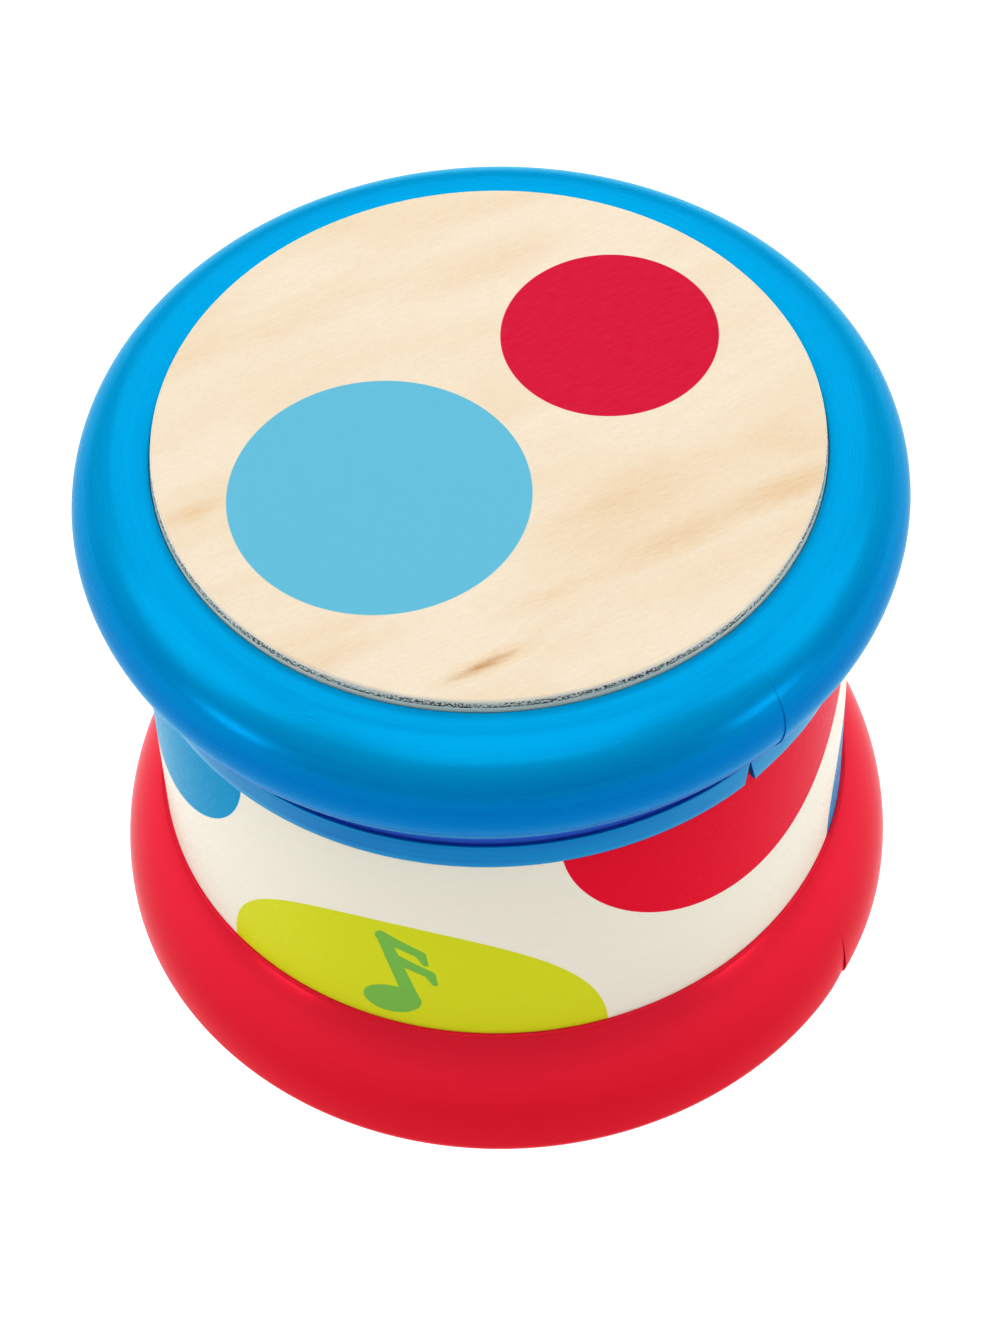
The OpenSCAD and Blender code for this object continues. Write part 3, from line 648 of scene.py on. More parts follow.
def rim_finish(name, main, deep, heights, *, streaky, rough, tint, gloss, sheen, relief):
    """Smooth coloured plastic with faint drawn streaks that run round the rim.

    It goes from its main colour to its deep one between two heights: painted light high on the rim
    and painted shade low on it. Tint and gloss are the colour and level of its shine, and sheen is the
    share of shine in the rim's own colour.
    """
    finish = Finish(name)
    around = finish.around(RIM_R)
    _, height, _ = finish.parts(around)
    streaks = finish.noise(around, (0.012, 1.1, 1.1), detail=4, rough=0.6)
    clouds = finish.noise(around, (0.05, 0.2, 0.2), detail=2, rough=0.5)
    scuffs = finish.noise(around, (0.6, 2.5, 2.5), detail=3, rough=0.6)
    drawn = finish.ramp(streaks, 0.35, 0.7, end=streaky)
    drawn = finish.math("MULTIPLY", drawn, finish.ramp(clouds, 0.3, 0.7, start=0.4))
    # Painted light and shade from the height ramp, plus the drawn streaks as the rim's own tone
    share = finish.math("ADD", finish.ramp(height, heights[0] / MM, heights[1] / MM), drawn)
    lumps = finish.math("ADD", streaks, finish.math("MULTIPLY", scuffs, 0.15))
    finish.set(
        base_color=finish.mix(share, main, deep),
        roughness=finish.ramp(streaks, 0.3, 0.75, start=rough, end=rough + 0.008),
        metallic=sheen,
        specular_ior_level=gloss,
        specular_tint=tint + (1.0,),
        normal=finish.bump(lumps, relief),
    )
    return finish


class Print:
    """Inked shapes on a surface wrapped round the drum, placed along and up in metres."""

    def __init__(self, finish, around, radius):
        self.finish = finish
        self.along, self.height, _ = finish.parts(around)
        self.half_round = math.pi * radius / MM

    def step(self, point):
        """Steps right and up from a point, in millimetres."""
        right = self.finish.math("SUBTRACT", self.along, point[0] / MM)
        right = self.finish.math("WRAP", right, self.half_round, -self.half_round)
        return self.finish.join(right, self.finish.math("SUBTRACT", self.height, point[1] / MM))

    def oval(self, point, halves, lean=0.0):
        """1 inside an oval, 0 outside."""
        step = self.step(point)
        if lean:
            step = self.finish.rotate(step, lean)
        step = self.finish.stretch(step, (MM / halves[0], MM / halves[1], 0))
        far = self.finish.vector("LENGTH", step, output=1)
        soft = INK_EDGE * MM / halves[1]
        return self.finish.ramp(far, 1 + soft, 1 - soft)

    def stroke(self, start, end, widths):
        """1 inside a straight stroke with round ends and changing width, 0 outside."""
        finish = self.finish
        run = ((end[0] - start[0]) / MM, (end[1] - start[1]) / MM, 0)
        step = self.step(start)
        share = finish.vector("DOT_PRODUCT", step, run, output=1)
        share = finish.ramp(share, 0, run[0] ** 2 + run[1] ** 2)
        foot = finish.vector("SCALE", run)
        finish.put(foot.node.inputs["Scale"], share)
        far = finish.vector("DISTANCE", step, foot, output=1)
        edge = finish.ramp(share, 0, 1, widths[0] / 2 / MM, widths[1] / 2 / MM)
        return finish.ramp(finish.math("SUBTRACT", far, edge), STROKE_EDGE, -STROKE_EDGE)

    def note(self, props):
        """1 inside a plain note with two flags, 0 outside."""
        head_left, head_down = 3.4 * MM, 0.4 * MM
        head_halves = (4.8 * MM, 3.5 * MM)
        head_lean = math.radians(-20)
        stem_widths = (2.6 * MM, 2.2 * MM)
        flag_places = (0.98, 0.66)
        flag_widths = (2.5 * MM, 1.9 * MM, 1.0 * MM)
        flag_tip = Vector((0.7 * MM, -2.4 * MM))
        foot = Vector(props.note_at)
        up = Vector((-math.sin(props.note_lean), math.cos(props.note_lean)))
        right = Vector((up.y, -up.x))
        head = foot - right * head_left - up * head_down
        shapes = [self.stroke(foot, foot + up * props.note_h, stem_widths)]
        for share in flag_places:
            start = foot + up * props.note_h * share
            bend = start + Vector(props.note_flag)
            shapes.append(self.stroke(start, bend, flag_widths[:2]))
            shapes.append(self.stroke(bend, bend + flag_tip, flag_widths[1:]))
        inside = self.oval(head, head_halves, head_lean)
        for shape in shapes:
            inside = self.finish.math("MAXIMUM", inside, shape)
        return inside


def shell_finish(props):
    """Glossy lacquer over a cream ground with rows of plain spots and a note."""
    finish = Finish("shell_print")
    around = finish.around(SHELL_R)
    ink = Print(finish, around, SHELL_R)
    grain = finish.noise(around, (0.04, 0.9, 0.9), detail=4, rough=0.6)
    fleck = finish.noise(around, (1.2, 1.6, 1.6), detail=2, rough=0.6)
    face = finish.mix(finish.ramp(grain, 0.35, 0.7, end=0.3), props.cream, props.cream_deep)
    spots = (props.lime, props.red, props.blue, props.lime, props.red, props.blue)
    for i, spot in enumerate(spots):
        along = props.lime_at + i * TURN * SHELL_R / len(spots)
        up = props.high if i % 2 else props.low
        face = finish.mix(ink.oval((along, up), props.spot), face, spot)
    face = finish.mix(ink.note(props), face, props.note)
    face = finish.mix(finish.ramp(fleck, 0.4, 0.8, end=0.008), face, props.dust)
    relief = finish.math("ADD", grain, finish.math("MULTIPLY", fleck, 0.4))
    finish.set(
        base_color=face,
        roughness=finish.ramp(fleck, 0.3, 0.7, start=0.25, end=0.28),
        specular_ior_level=0.02,
        normal=finish.bump(relief, 0.0002 * MM),
    )
    return finish


def moulded_finish(name, main, rough, grain=3.0):
    """Moulded plastic with a fine even grain and faint clouds."""
    finish = Finish(name)
    place = finish.place()
    fine = finish.noise(place, (grain,) * 3, detail=3, rough=0.6)
    clouds = finish.noise(place, (0.06,) * 3, detail=3, rough=0.5)
    finish.set(
        base_color=finish.mix(finish.ramp(clouds, 0.3, 0.7, end=0.6), main, shaded(main, 0.82)),
        roughness=finish.ramp(fine, 0.3, 0.7, start=rough - 0.06, end=rough + 0.08),
        specular_ior_level=0.45,
        normal=finish.bump(fine, 0.02 * MM),
    )
    return finish


def metal_finish(name, main, rough=0.3, lumps=(0.8, 0.8, 0.8)):
    """Plated or pressed metal with fine marks."""
    finish = Finish(name)
    marks = finish.noise(finish.place(), lumps, detail=4, rough=0.65)
    finish.set(
        base_color=finish.mix(finish.ramp(marks, 0.35, 0.75), main, shaded(main, 0.7)),
        metallic=1.0,
        roughness=finish.ramp(marks, 0.3, 0.7, start=rough - 0.06, end=rough + 0.12),
        normal=finish.bump(marks, 0.008 * MM),
    )
    return finish


def board_finish(props):
    """Green lacquer over copper tracks, with bare plated lands."""
    finish = Finish("board_green")
    place = finish.place()
    tracks = finish.add(
        "ShaderNodeTexBrick",
        {"Vector": place, "Scale": 0.16, "Mortar Size": 0.035, "Mortar Smooth": 0.1, "Bias": 0.0},
        1,
    )
    lands = finish.ramp(finish.cells(place, (0.32, 0.32, 0.0), 0.7), 0.2, 0.16)
    fibre = finish.noise(place, (2.5, 2.5, 0.5), detail=2, rough=0.5)
    lacquer = finish.mix(finish.ramp(tracks, 0.2, 0.6), props.board, shaded(props.board, 1.7))
    lacquer = finish.mix(finish.ramp(fibre, 0.3, 0.7, end=0.18), lacquer, props.board_deep)
    finish.set(
        base_color=finish.mix(lands, lacquer, props.steel),
        metallic=lands,
        roughness=finish.ramp(fibre, 0.3, 0.7, start=0.28, end=0.4),
        normal=finish.bump(finish.math("ADD", tracks, lands), 0.03 * MM),
    )
    return finish


def fibre_finish(name, main, *, rough, lumps, relief):
    """Pressed pulp, foam, ferrite or rubber: a dull surface with a fine lumpy texture."""
    finish = Finish(name)
    place = finish.place()
    texture = finish.cells(place, (lumps,) * 3, 1.0)
    clouds = finish.noise(place, (0.3,) * 3, detail=3, rough=0.6)
    finish.set(
        base_color=finish.mix(finish.ramp(clouds, 0.3, 0.7), main, shaded(main, 1.35, 0.01)),
        roughness=finish.ramp(texture, 0.0, 0.8, start=rough - 0.08, end=rough + 0.05),
        specular_ior_level=0.3,
        normal=finish.bump(texture, relief),
    )
    return finish


def cell_finish(props):
    """A plain dark jacket with a band at one end, and bare metal ends."""
    finish = Finish("cell_jacket")
    place = finish.place()
    x, y, _ = finish.parts(place)
    low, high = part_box("battery_cells")
    middle = (low.x + high.x) / 2 / MM
    stud_way = finish.math("SIGN", finish.math("SUBTRACT", middle, x))
    to_stud = finish.math("MULTIPLY", y, stud_way)
    band_from = ((high.y - low.y) / 2 - props.band_l) / MM
    band = finish.ramp(to_stud, band_from - 0.1, band_from + 0.1)
    marks = finish.noise(place, (1.5, 0.2, 1.5), detail=3, rough=0.6)
    jacket = finish.mix(band, props.jacket, props.band)
    jacket = finish.mix(finish.ramp(marks, 0.4, 0.8, end=0.15), jacket, props.scuff)
    _, endways, _ = finish.facing()
    bare = finish.ramp(finish.math("ABSOLUTE", endways), 0.7, 0.8)
    finish.set(
        base_color=finish.mix(bare, jacket, props.steel),
        metallic=bare,
        roughness=finish.ramp(marks, 0.3, 0.7, start=0.22, end=0.34),
        normal=finish.bump(marks, 0.01 * MM),
    )
    return finish


def floor_finish(props):
    """A plain pale sheet with the faintest tooth."""
    finish = Finish("floor_sheet")
    tooth = finish.noise(finish.place(), (0.4,) * 3, detail=2, rough=0.5)
    finish.set(
        base_color=finish.mix(tooth, props.floor, shaded(props.floor, 0.985)),
        roughness=finish.ramp(tooth, 0.3, 0.7, start=0.7, end=0.8),
        specular_ior_level=0.2,
        emission_color=WHITE,
        emission_strength=props.glow,
    )
    return finish


# Pieces


def settle(piece, finish, body, slot, *nodes):
    """Finishes a new piece, lets it ride on its body and stand for the solids that it replaces."""
    finish.dress(piece)
    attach(piece, body)
    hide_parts(*nodes)


def head_outline(props):
    """Half section of the head, from the axis over the top and the grooved edge to the axis."""
    e = props.edge_round
    inner, outer = 0.05 * MM, 0.08 * MM  # half a glue line, at its bottom and at its mouth
    middle = (HEAD_TOP + HEAD_BOTTOM) / 2
    faces = (props.face_ply, props.face_ply + props.cross_ply)
    lines = [HEAD_TOP - d for d in faces] + [HEAD_BOTTOM + d for d in reversed(faces)]

    def out(z):
        """Radius of the edge at a height."""
        return HEAD_R - props.draft * max(0.0, (z - middle) / (HEAD_TOP - middle))

    points = [(r * HEAD_R, HEAD_TOP) for r in (0, 0.25, 0.5, 0.75, 0.9, 0.97)]
    points += arc((out(HEAD_TOP - e) - e, HEAD_TOP - e), e, math.pi / 2, 0, steps=5)
    for z in lines:
        points += [
            (out(z + outer), z + outer),
            (out(z + inner) - props.glue_line, z + inner),
            (out(z - inner) - props.glue_line, z - inner),
            (out(z - outer), z - outer),
        ]
    points += arc((HEAD_R - e, HEAD_BOTTOM + e), e, 0, -math.pi / 2, steps=5)
    points += [(r * HEAD_R, HEAD_BOTTOM) for r in (0.9, 0.5, 0)]
    return points


def top_rim_outline(props):
    """Section of the blue rim: a round bead over a thin skirt that grips the shell."""
    edge_round = 0.12 * MM
    edge_turn = math.radians(2)
    ledge_round = 0.2 * MM
    bore = HEAD_R + props.bore_gap
    grip = SHELL_R + props.fit
    lip = grip + props.skirt_wall
    wall = lip - props.ledge
    ledge = props.ledge_z
    bead = (RIM_R - props.bead_r, RIM_CREST - props.bead_r)
    start = math.acos((bore - bead[0]) / props.bead_r)
    end = -math.acos((wall - bead[0]) / props.bead_r)
    edge = (bore, bead[1] + props.bead_r * math.sin(start))
    crown = arc(bead, props.bead_r, start - edge_turn, end, steps=64)
    points = [(bore, DECK_TOP)]
    points += rounded((bore, edge[1] - edge_round), edge, crown[0])
    points += crown[1:]
    points += rounded((wall, ledge + ledge_round), (wall, ledge), (wall + ledge_round, ledge))
    points += rounded((lip - ledge_round, ledge), (lip, ledge), (lip, ledge - ledge_round))
    points += [(lip, ledge - 1 * MM), (lip, SKIRT_FOOT + 2 * MM)]
    half = props.skirt_wall / 2
    points += arc((lip - half, SKIRT_FOOT + half), half, 0, -math.pi, steps=10)
    points += [(grip, DECK_TOP)]
    return points


def bottom_rim_outline(props):
    """Section of the red rim: a bulging flank on a rounded foot, with a ledge under the tray."""
    ledge_round = 1 * MM
    lip_turn = math.radians(0.8)
    grip = SHELL_R + props.fit
    foot = Vector((RIM_R - props.foot_round, props.foot_round))
    lip = Vector((grip + props.lip, FLARE_TOP))
    # The flank is an arc through the lip that runs smoothly into the foot's round
    gap = foot - lip
    d = gap.length
    u = gap / d
    r = props.flank_r
    along = (r * r - (r - props.foot_round) ** 2 + d * d) / (2 * d)
    centre = lip + along * u + math.sqrt(r * r - along * along) * Vector((u.y, -u.x))
    low = math.atan2(foot.y - centre.y, foot.x - centre.x)
    high = math.atan2(lip.y - centre.y, lip.x - centre.x)
    flank = arc(centre, r, low, high - lip_turn, steps=36)
    inner = SHELL_R - props.foot_ledge
    points = [(grip, TRAY_FOOT), (inner, TRAY_FOOT)]
    points += arc((inner + ledge_round, ledge_round), ledge_round, math.pi, 1.5 * math.pi, steps=6)
    points += arc(foot, props.foot_round, -math.pi / 2, low, steps=20)
    points += flank[1:]
    points += rounded(flank[-1], lip, (grip + props.lip / 2, FLARE_TOP))
    points += [(grip, FLARE_TOP)]
    return points


def shell_outline(props):
    """Section of the shell's wall, its ends eased a little."""
    inner, e = SHELL_R - props.wall, 0.2 * MM
    return [
        (inner, SHELL_BOTTOM + e),
        (inner + e, SHELL_BOTTOM),
        (SHELL_R - e, SHELL_BOTTOM),
        (SHELL_R, SHELL_BOTTOM + e),
        (SHELL_R, SHELL_TOP - e),
        (SHELL_R - e, SHELL_TOP),
        (inner + e, SHELL_TOP),
        (inner, SHELL_TOP - e),
    ]


def dome_outline(radius, foot, height):
    """Half section of the rubber dome, from the axis over its button, web and flange to the axis."""
    # Shares of the radius and the height
    outer = [(0.0, 1.0), (0.42, 1.0), (0.52, 0.97), (0.54, 0.9), (0.55, 0.66), (0.6, 0.56)]
    outer += [(0.74, 0.27), (0.8, 0.23), (0.97, 0.23), (1.0, 0.2), (1.0, 0.0), (0.56, 0.0)]
    inner = [(0.56, 0.17), (0.46, 0.36), (0.4, 0.48), (0.0, 0.48)]
    return [(a * radius, foot + b * height) for a, b in outer + inner]


def blue_rim(rims):
    """The blue rim, with finishes of their own on its skirt and in the groove above it, and painted
    shade low on its bead and in its groove.
    """
    # Painted light and shade: lighter blue at the crest, deeper blue from 1.5 mm to 8 mm below it
    bead_shade_heights = (RIM_CREST - 1.5 * MM, RIM_CREST - 8 * MM)
    # Painted shade: the groove's wall goes from deep blue to the darker groove colour towards its foot
    groove_shade_heights = (rims.ledge_z + 2.6 * MM, rims.ledge_z + 1.2 * MM)
    groove_top = rims.ledge_z + 3 * MM
    near_wall = 0.2 * MM
    piece = wrapped_rim(
        "blue_rim", top_rim_outline(rims), rims.blue_seam, rims.seam,
        shifts=((0.12 * MM, -0.06 * MM), (-0.04 * MM, 0.05 * MM)), fade=1.0,
        notch_up=5 * MM, notch_out=1.2 * MM,
    )
    finish = rim_finish(
        "blue_rim", rims.blue, rims.blue_painted_shade, bead_shade_heights,
        streaky=0.25, rough=0.27, tint=BLUE_SHINE, gloss=0.04, sheen=0.14, relief=0.002 * MM,
    )
    settle(piece, finish, "drum", "blue_rim", "top_rim")
    skirt = rim_finish(
        "blue_skirt", rims.skirt, rims.skirt_deep, NOWHERE,
        streaky=1.0, rough=0.12, tint=BLUE_SHINE, gloss=0.3, sheen=0.14, relief=0.012 * MM,
    )
    groove = rim_finish(
        "blue_groove", rims.blue_painted_shade, rims.groove, groove_shade_heights,
        streaky=0.1, rough=0.3, tint=BLUE_SHINE, gloss=0.04, sheen=0.1, relief=0.002 * MM,
    )
    piece.data.materials.append(skirt.material)
    piece.data.materials.append(groove.material)
    wall = SHELL_R + rims.fit + rims.skirt_wall - rims.ledge
    # Skirt faces get the skirt's finish; faces on the groove's wall get the groove's painted shade
    for face in piece.data.polygons:
        out, up = face.center.xy.length, face.center.z
        if up < rims.ledge_z and out > SHELL_R + rims.skirt_wall / 2:
            face.material_index = SKIRT
        elif up < groove_top and abs(out - wall) < near_wall:
            face.material_index = GROOVE_SHADE


def red_rim(rims):
    """The red rim at the foot, with painted light at its top edge."""
    # Painted light: lighter red at the top edge, fading to the deep red 3 mm to 13 mm below it
    flank_light_heights = (FLARE_TOP - 3 * MM, FLARE_TOP - 13 * MM)
    piece = wrapped_rim(
        "red_rim", bottom_rim_outline(rims), rims.red_seam, rims.seam,
        shifts=((0.0, 0.0), (-0.4 * MM, 0.0)), fade=12 * MM, notch_up=7 * MM, notch_out=0.5 * MM,
    )
    finish = rim_finish(
        "red_rim", rims.red, rims.red_deep, flank_light_heights,
        streaky=0.1, rough=0.25, tint=RED_SHINE, gloss=0.04, sheen=0.1, relief=0.0006 * MM,
    )
    settle(piece, finish, "drum", "red_rim", "bottom_rim")


def return_springs(works, steel):
    """Three springs round the head's guide posts; on the real drum they shorten as the head is pressed.
    """
    low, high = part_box("head_springs")
    radius = (works.spring_d - works.spring_wire) / 2
    ring = high.x - works.spring_d / 2
    count = 3
    bm = bmesh.new()
    for k in range(count):
        out = Vector((math.cos(TURN * k / count), math.sin(TURN * k / count), 0))
        foot = out * ring + Vector((0, 0, low.z))
        path = coil(
            foot, Vector((0, 0, 1)), out, (radius, radius), high.z - low.z,
            works.spring_wire, works.spring_turns,
        )
        tube(bm, path, works.spring_wire / 2)
    piece = shaped("return_springs", bm)
    settle(piece, steel, "drum", "steel", "head_springs")
    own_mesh(piece)


def cell_springs(works, steel):
    """Two tapered springs that press the cells against their contacts."""
    low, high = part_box("contact_springs")
    wire = works.contact_wire
    wide = (high.z - low.z) / 2 - wire / 2
    middle = (low.z + high.z) / 2
    bm = bmesh.new()
    for x, y, way in (
        (low.x + wide + wire / 2, low.y, 1),
        (high.x - wide - wire / 2, high.y, -1),
    ):
        path = coil(
            Vector((x, y, middle)), Vector((0, way, 0)), Vector((1, 0, 0)),
            (wide, wide * works.contact_taper), works.contact_l, wire, works.contact_turns,
        )
        tube(bm, path, wire / 2)
    settle(shaped("cell_springs", bm), steel, "drum", "steel", "contact_springs")


class DRUM_OT_head(bpy.types.Operator):
    """Adds the plywood head with its printed spots"""

    bl_idname = "object.drum_head"
    bl_label = "Wooden head"
    bl_options = {"REGISTER", "UNDO"}

    def execute(self, context):
        props = context.scene.toy_drum.head
        piece = turned("wooden_head", head_outline(props), steps=240, axis=True)
        settle(piece, wood_finish(props), "head", "head_wood", "drum_head")
        return {"FINISHED"}


class DRUM_OT_rims(bpy.types.Operator):
    """Adds the blue rim round the head and the red rim at the foot"""

    bl_idname = "object.drum_rims"
    bl_label = "Rims"
    bl_options = {"REGISTER", "UNDO"}

    def execute(self, context):
        blue_rim(context.scene.toy_drum.rims)
        red_rim(context.scene.toy_drum.rims)
        return {"FINISHED"}


class DRUM_OT_shell(bpy.types.Operator):
    """Adds the printed shell"""

    bl_idname = "object.drum_shell"
    bl_label = "Printed shell"
    bl_options = {"REGISTER", "UNDO"}

    def execute(self, context):
        props = context.scene.toy_drum.shell
        piece = turned("printed_shell", shell_outline(props), steps=256)
        settle(piece, shell_finish(props), "drum", "shell_print", "shell")
        return {"FINISHED"}


class DRUM_OT_springs(bpy.types.Operator):
    """Adds the head's return springs and the cells' contact springs"""

    bl_idname = "object.drum_springs"
    bl_label = "Springs"
    bl_options = {"REGISTER", "UNDO"}

    def execute(self, context):
        works = context.scene.toy_drum.works
        steel = metal_finish("spring_steel", works.steel, rough=0.22, lumps=(1.5, 1.5, 1.5))
        return_springs(works, steel)
        cell_springs(works, steel)
        return {"FINISHED"}


class DRUM_OT_dome(bpy.types.Operator):
    """Adds the rubber dome that the head's plunger presses"""

    bl_idname = "object.drum_dome"
    bl_label = "Rubber dome"
    bl_options = {"REGISTER", "UNDO"}

    def execute(self, context):
        works = context.scene.toy_drum.works
        low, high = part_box("switch_dome")
        outline = dome_outline(high.x, low.z, high.z - low.z)
        piece = turned("rubber_dome", outline, steps=64, axis=True)
        finish = fibre_finish("dome_rubber", works.rubber, rough=0.5, lumps=4.0, relief=0.004 * MM)
        settle(piece, finish, "drum", "dome_rubber", "switch_dome")
        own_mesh(piece)
        return {"FINISHED"}


class DRUM_OT_leads(bpy.types.Operator):
    """Adds the leads between bay, switch, speaker and board"""

    bl_idname = "object.drum_leads"
    bl_label = "Leads"
    bl_options = {"REGISTER", "UNDO"}

    def execute(self, context):
        works = context.scene.toy_drum.works
        for node, name, ink, slot in (
            ("power_wires", "power_leads", works.lead, "wire_red"),
            ("speaker_wires", "speaker_leads", works.lead_dark, "wire_black"),
        ):
            finish = moulded_finish(slot, ink, rough=0.4, grain=2.0)
            settle(smooth_copy(node, name), finish, "drum", slot, node)
        return {"FINISHED"}


class DRUM_OT_moulded(bpy.types.Operator):
    """Finishes the moulded plastic pieces"""

    bl_idname = "object.drum_moulded"
    bl_label = "Moulded pieces"
    bl_options = {"REGISTER", "UNDO"}

    def execute(self, context):
        works = context.scene.toy_drum.works
        for name, ink, rough, nodes in (
            ("white_plastic", works.white, 0.42, ("head_carrier", "top_deck", "power_slider")),
            ("red_plastic", works.red, 0.4, ("bottom_tray", "battery_door")),
            ("dark_plastic", works.dark, 0.45, ("switch_body", "board_parts")),
        ):
            finish = moulded_finish(name, ink, rough)
            for node in nodes:
                finish.dress(NODES[node])
        return {"FINISHED"}


class DRUM_OT_metal(bpy.types.Operator):
    """Finishes the screws, washers, contacts and the speaker's frame"""

    bl_idname = "object.drum_metal"
    bl_label = "Metal pieces"
    bl_options = {"REGISTER", "UNDO"}

    def execute(self, context):
        works = context.scene.toy_drum.works
        steel = metal_finish("steel", works.steel)
        for node in (
            "post_washers", "post_screws", "board_screws", "case_screws",
            "speaker_screws", "door_screw", "contact_plates",
        ):
            steel.dress(NODES[node])
        pressed = metal_finish("speaker_metal", works.pressed, rough=0.36, lumps=(0.5, 0.5, 2.0))
        pressed.dress(NODES["speaker_frame"])
        return {"FINISHED"}


class DRUM_OT_sound(bpy.types.Operator):
    """Finishes the sound board, the rest of the speaker and the cells"""

    bl_idname = "object.drum_sound"
    bl_label = "Sound works"
    bl_options = {"REGISTER", "UNDO"}

    def execute(self, context):
        works = context.scene.toy_drum.works
        board_finish(works).dress(NODES["circuit_board"])
        cell_finish(works).dress(NODES["battery_cells"])
        magnet = fibre_finish("magnet", works.magnet, rough=0.7, lumps=3.0, relief=0.02 * MM)
        magnet.dress(NODES["speaker_magnet"])
        cone = fibre_finish("cone_paper", works.cone, rough=0.85, lumps=2.2, relief=0.03 * MM)
        cone.dress(NODES["speaker_cone"])
        foam = fibre_finish("foam", works.foam, rough=0.9, lumps=1.6, relief=0.08 * MM)
        foam.dress(NODES["speaker_gasket"])
        return {"FINISHED"}


# Stage


def add_floor(stage):
    """A lit floor sheet that the camera sees through, in a pale backdrop that lights nothing."""
    floor_half, backdrop_r = 3.0, 3.5
    floor_drop = 0.2 * MM  # keeps the sheet clear of the drum's foot
    sheet = floor_finish(stage)
    bm = bmesh.new()
    bmesh.ops.create_grid(bm, x_segments=1, y_segments=1, size=floor_half)
    floor = shaped("floor", bm)
    floor.location.z = -floor_drop
    floor.visible_camera = False
    bm = bmesh.new()
    bmesh.ops.create_icosphere(bm, subdivisions=4, radius=backdrop_r)
    backdrop = shaped("backdrop", bm)
    backdrop.visible_diffuse = backdrop.visible_glossy = False
    backdrop.visible_transmission = backdrop.visible_shadow = False
    for piece in (floor, backdrop):
        sheet.dress(piece)


def add_lights(scene, stage):
    """Even room light, and soft lights that aim at the middle of the drum."""
    world = bpy.data.worlds.new("Studio")
    world.use_nodes = True
    sky = world.node_tree.nodes["Background"]
    sky.inputs["Color"].default_value = WHITE
    sky.inputs["Strength"].default_value = stage.sky
    scene.world = world
    middle = Vector((0, 0, stage.aim))
    # Name, place, width and height in metres, and power
    for name, place, size, watts in (
        ("Top softbox", (0, -0.15, 0.85), (0.55, 0.7), stage.top),
        ("Back softbox", (0, 0.65, 0.75), (1.3, 0.8), stage.back),
        ("Left softbox", (-0.65, 0.08, 0.8), (0.6, 0.6), stage.side),
        ("Right softbox", (0.65, 0.08, 0.8), (0.6, 0.6), stage.side),
        ("Low left softbox", (-0.62, -0.33, 0.2), (0.2, 0.1), stage.low),
        ("Low right softbox", (0.62, -0.33, 0.2), (0.2, 0.1), stage.low),
        ("Under softbox", (-0.35, -0.4, -0.4), (0.4, 0.4), stage.under),
    ):
        light = bpy.data.lights.new(name, "AREA")
        light.shape = "RECTANGLE"
        light.size, light.size_y = size
        light.energy = watts
        lamp = bpy.data.objects.new(name, light)
        lamp.location = place
        lamp.rotation_euler = (middle - lamp.location).to_track_quat("-Z", "Y").to_euler()
        scene.collection.objects.link(lamp)


def add_camera(scene, stage):
    """The camera at the photo's angle, with its roll."""
    camera = bpy.data.objects.new("Camera", bpy.data.cameras.new("Camera"))
    back = Vector((0, -math.cos(stage.rise), math.sin(stage.rise)))
    camera.location = Vector((0, 0, stage.aim)) + back * stage.distance
    level = (-back).to_track_quat("-Z", "Y").to_matrix()
    right, up = level.col[0], level.col[1]
    tilted = level.copy()
    tilted.col[0] = math.cos(stage.roll) * right - math.sin(stage.roll) * up
    tilted.col[1] = math.sin(stage.roll) * right + math.cos(stage.roll) * up
    camera.rotation_euler = tilted.to_euler()
    camera.data.sensor_width = PICTURE_H
    camera.data.lens = stage.focus / MM
    camera.data.shift_x, camera.data.shift_y = stage.shift
    camera.data.clip_start, camera.data.clip_end = 0.01, 10
    scene.collection.objects.link(camera)
    scene.camera = camera


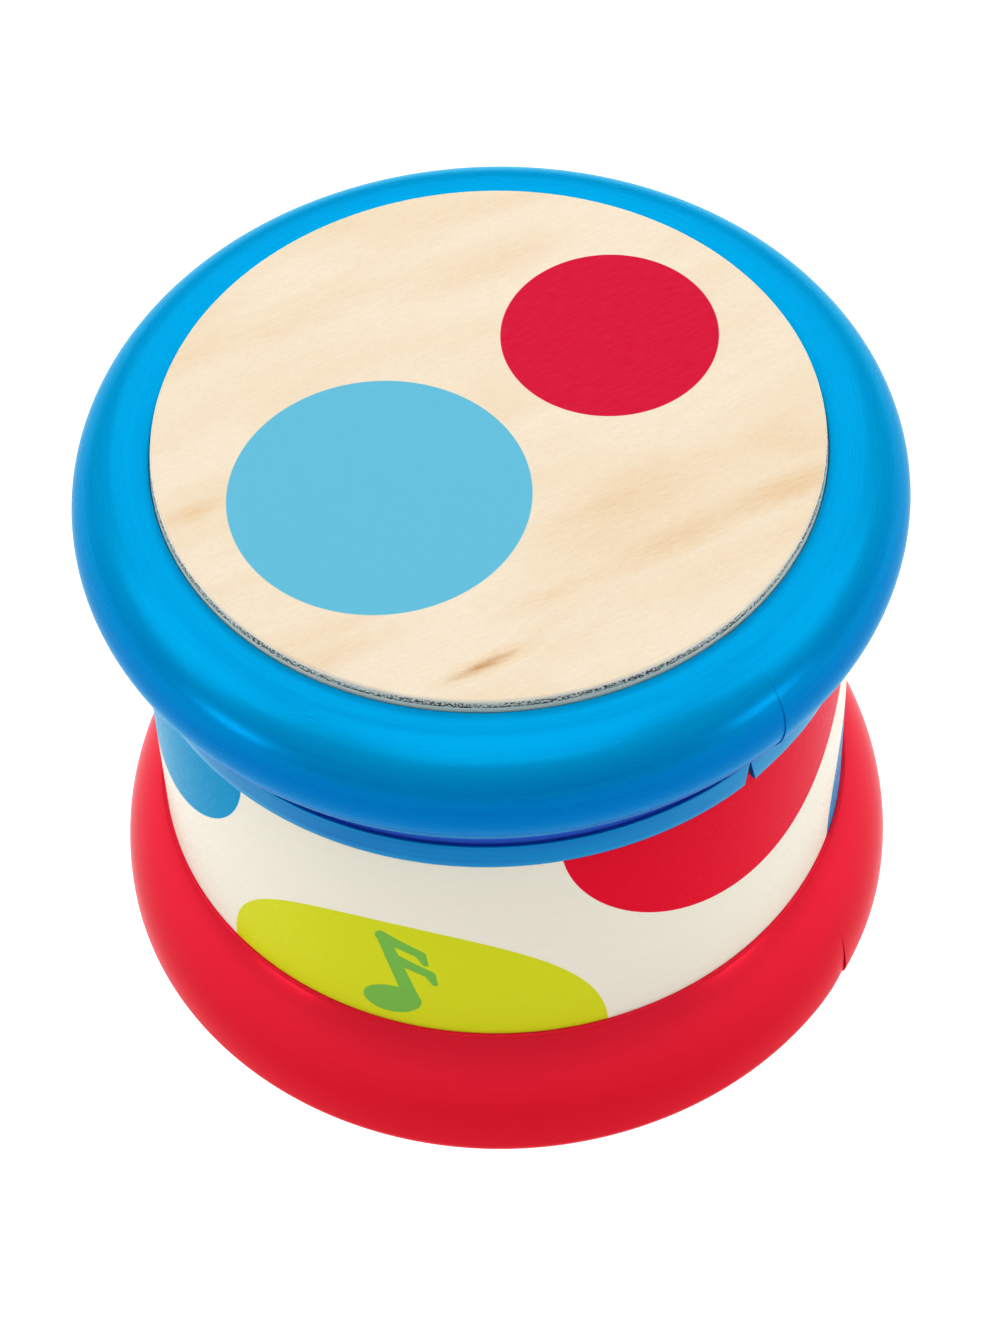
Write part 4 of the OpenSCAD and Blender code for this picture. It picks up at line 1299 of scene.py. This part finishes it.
class DRUM_OT_stage(bpy.types.Operator):
    """Adds the floor, the lights and the camera"""

    bl_idname = "scene.drum_stage"
    bl_label = "Stage"
    bl_options = {"REGISTER", "UNDO"}

    def execute(self, context):
        scene = context.scene
        scene.view_settings.view_transform = "Standard"
        scene.view_settings.look = "High Contrast"
        add_floor(scene.toy_drum.stage)
        add_lights(scene, scene.toy_drum.stage)
        add_camera(scene, scene.toy_drum.stage)
        return {"FINISHED"}


# Panel and registration


class DRUM_PT_sidebar(bpy.types.Panel):
    """Lists the drum's sizes, colours and operators"""

    bl_idname = "DRUM_PT_sidebar"
    bl_label = "Toy drum"
    bl_space_type = "VIEW_3D"
    bl_region_type = "UI"
    bl_category = "Toy drum"

    def draw(self, context):
        props = context.scene.toy_drum
        for name in DrumProps.__annotations__:
            group = getattr(props, name)
            box = self.layout.box()
            box.label(text=name.capitalize())
            for key in type(group).__annotations__:
                box.prop(group, key)
        for operator in OPERATORS:
            self.layout.operator(operator.bl_idname)


GROUPS = (DrumHeadProps, DrumRimProps, DrumShellProps, DrumWorksProps, DrumStageProps, DrumProps)
OPERATORS = (
    DRUM_OT_head, DRUM_OT_rims, DRUM_OT_shell, DRUM_OT_springs, DRUM_OT_dome, DRUM_OT_leads,
    DRUM_OT_moulded, DRUM_OT_metal, DRUM_OT_sound, DRUM_OT_stage,
)


def register():
    for kind in GROUPS + OPERATORS + (DRUM_PT_sidebar,):
        bpy.utils.register_class(kind)
    bpy.types.Scene.toy_drum = bpy.props.PointerProperty(type=DrumProps)


def unregister():
    del bpy.types.Scene.toy_drum
    for kind in reversed(GROUPS + OPERATORS + (DRUM_PT_sidebar,)):
        bpy.utils.unregister_class(kind)


def main():
    """Registers the classes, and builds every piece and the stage."""
    register()
    bpy.ops.object.drum_head()
    bpy.ops.object.drum_rims()
    bpy.ops.object.drum_shell()
    bpy.ops.object.drum_springs()
    bpy.ops.object.drum_dome()
    bpy.ops.object.drum_leads()
    bpy.ops.object.drum_moulded()
    bpy.ops.object.drum_metal()
    bpy.ops.object.drum_sound()
    bpy.ops.scene.drum_stage()
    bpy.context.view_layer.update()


if __name__ == "__main__":
    main()
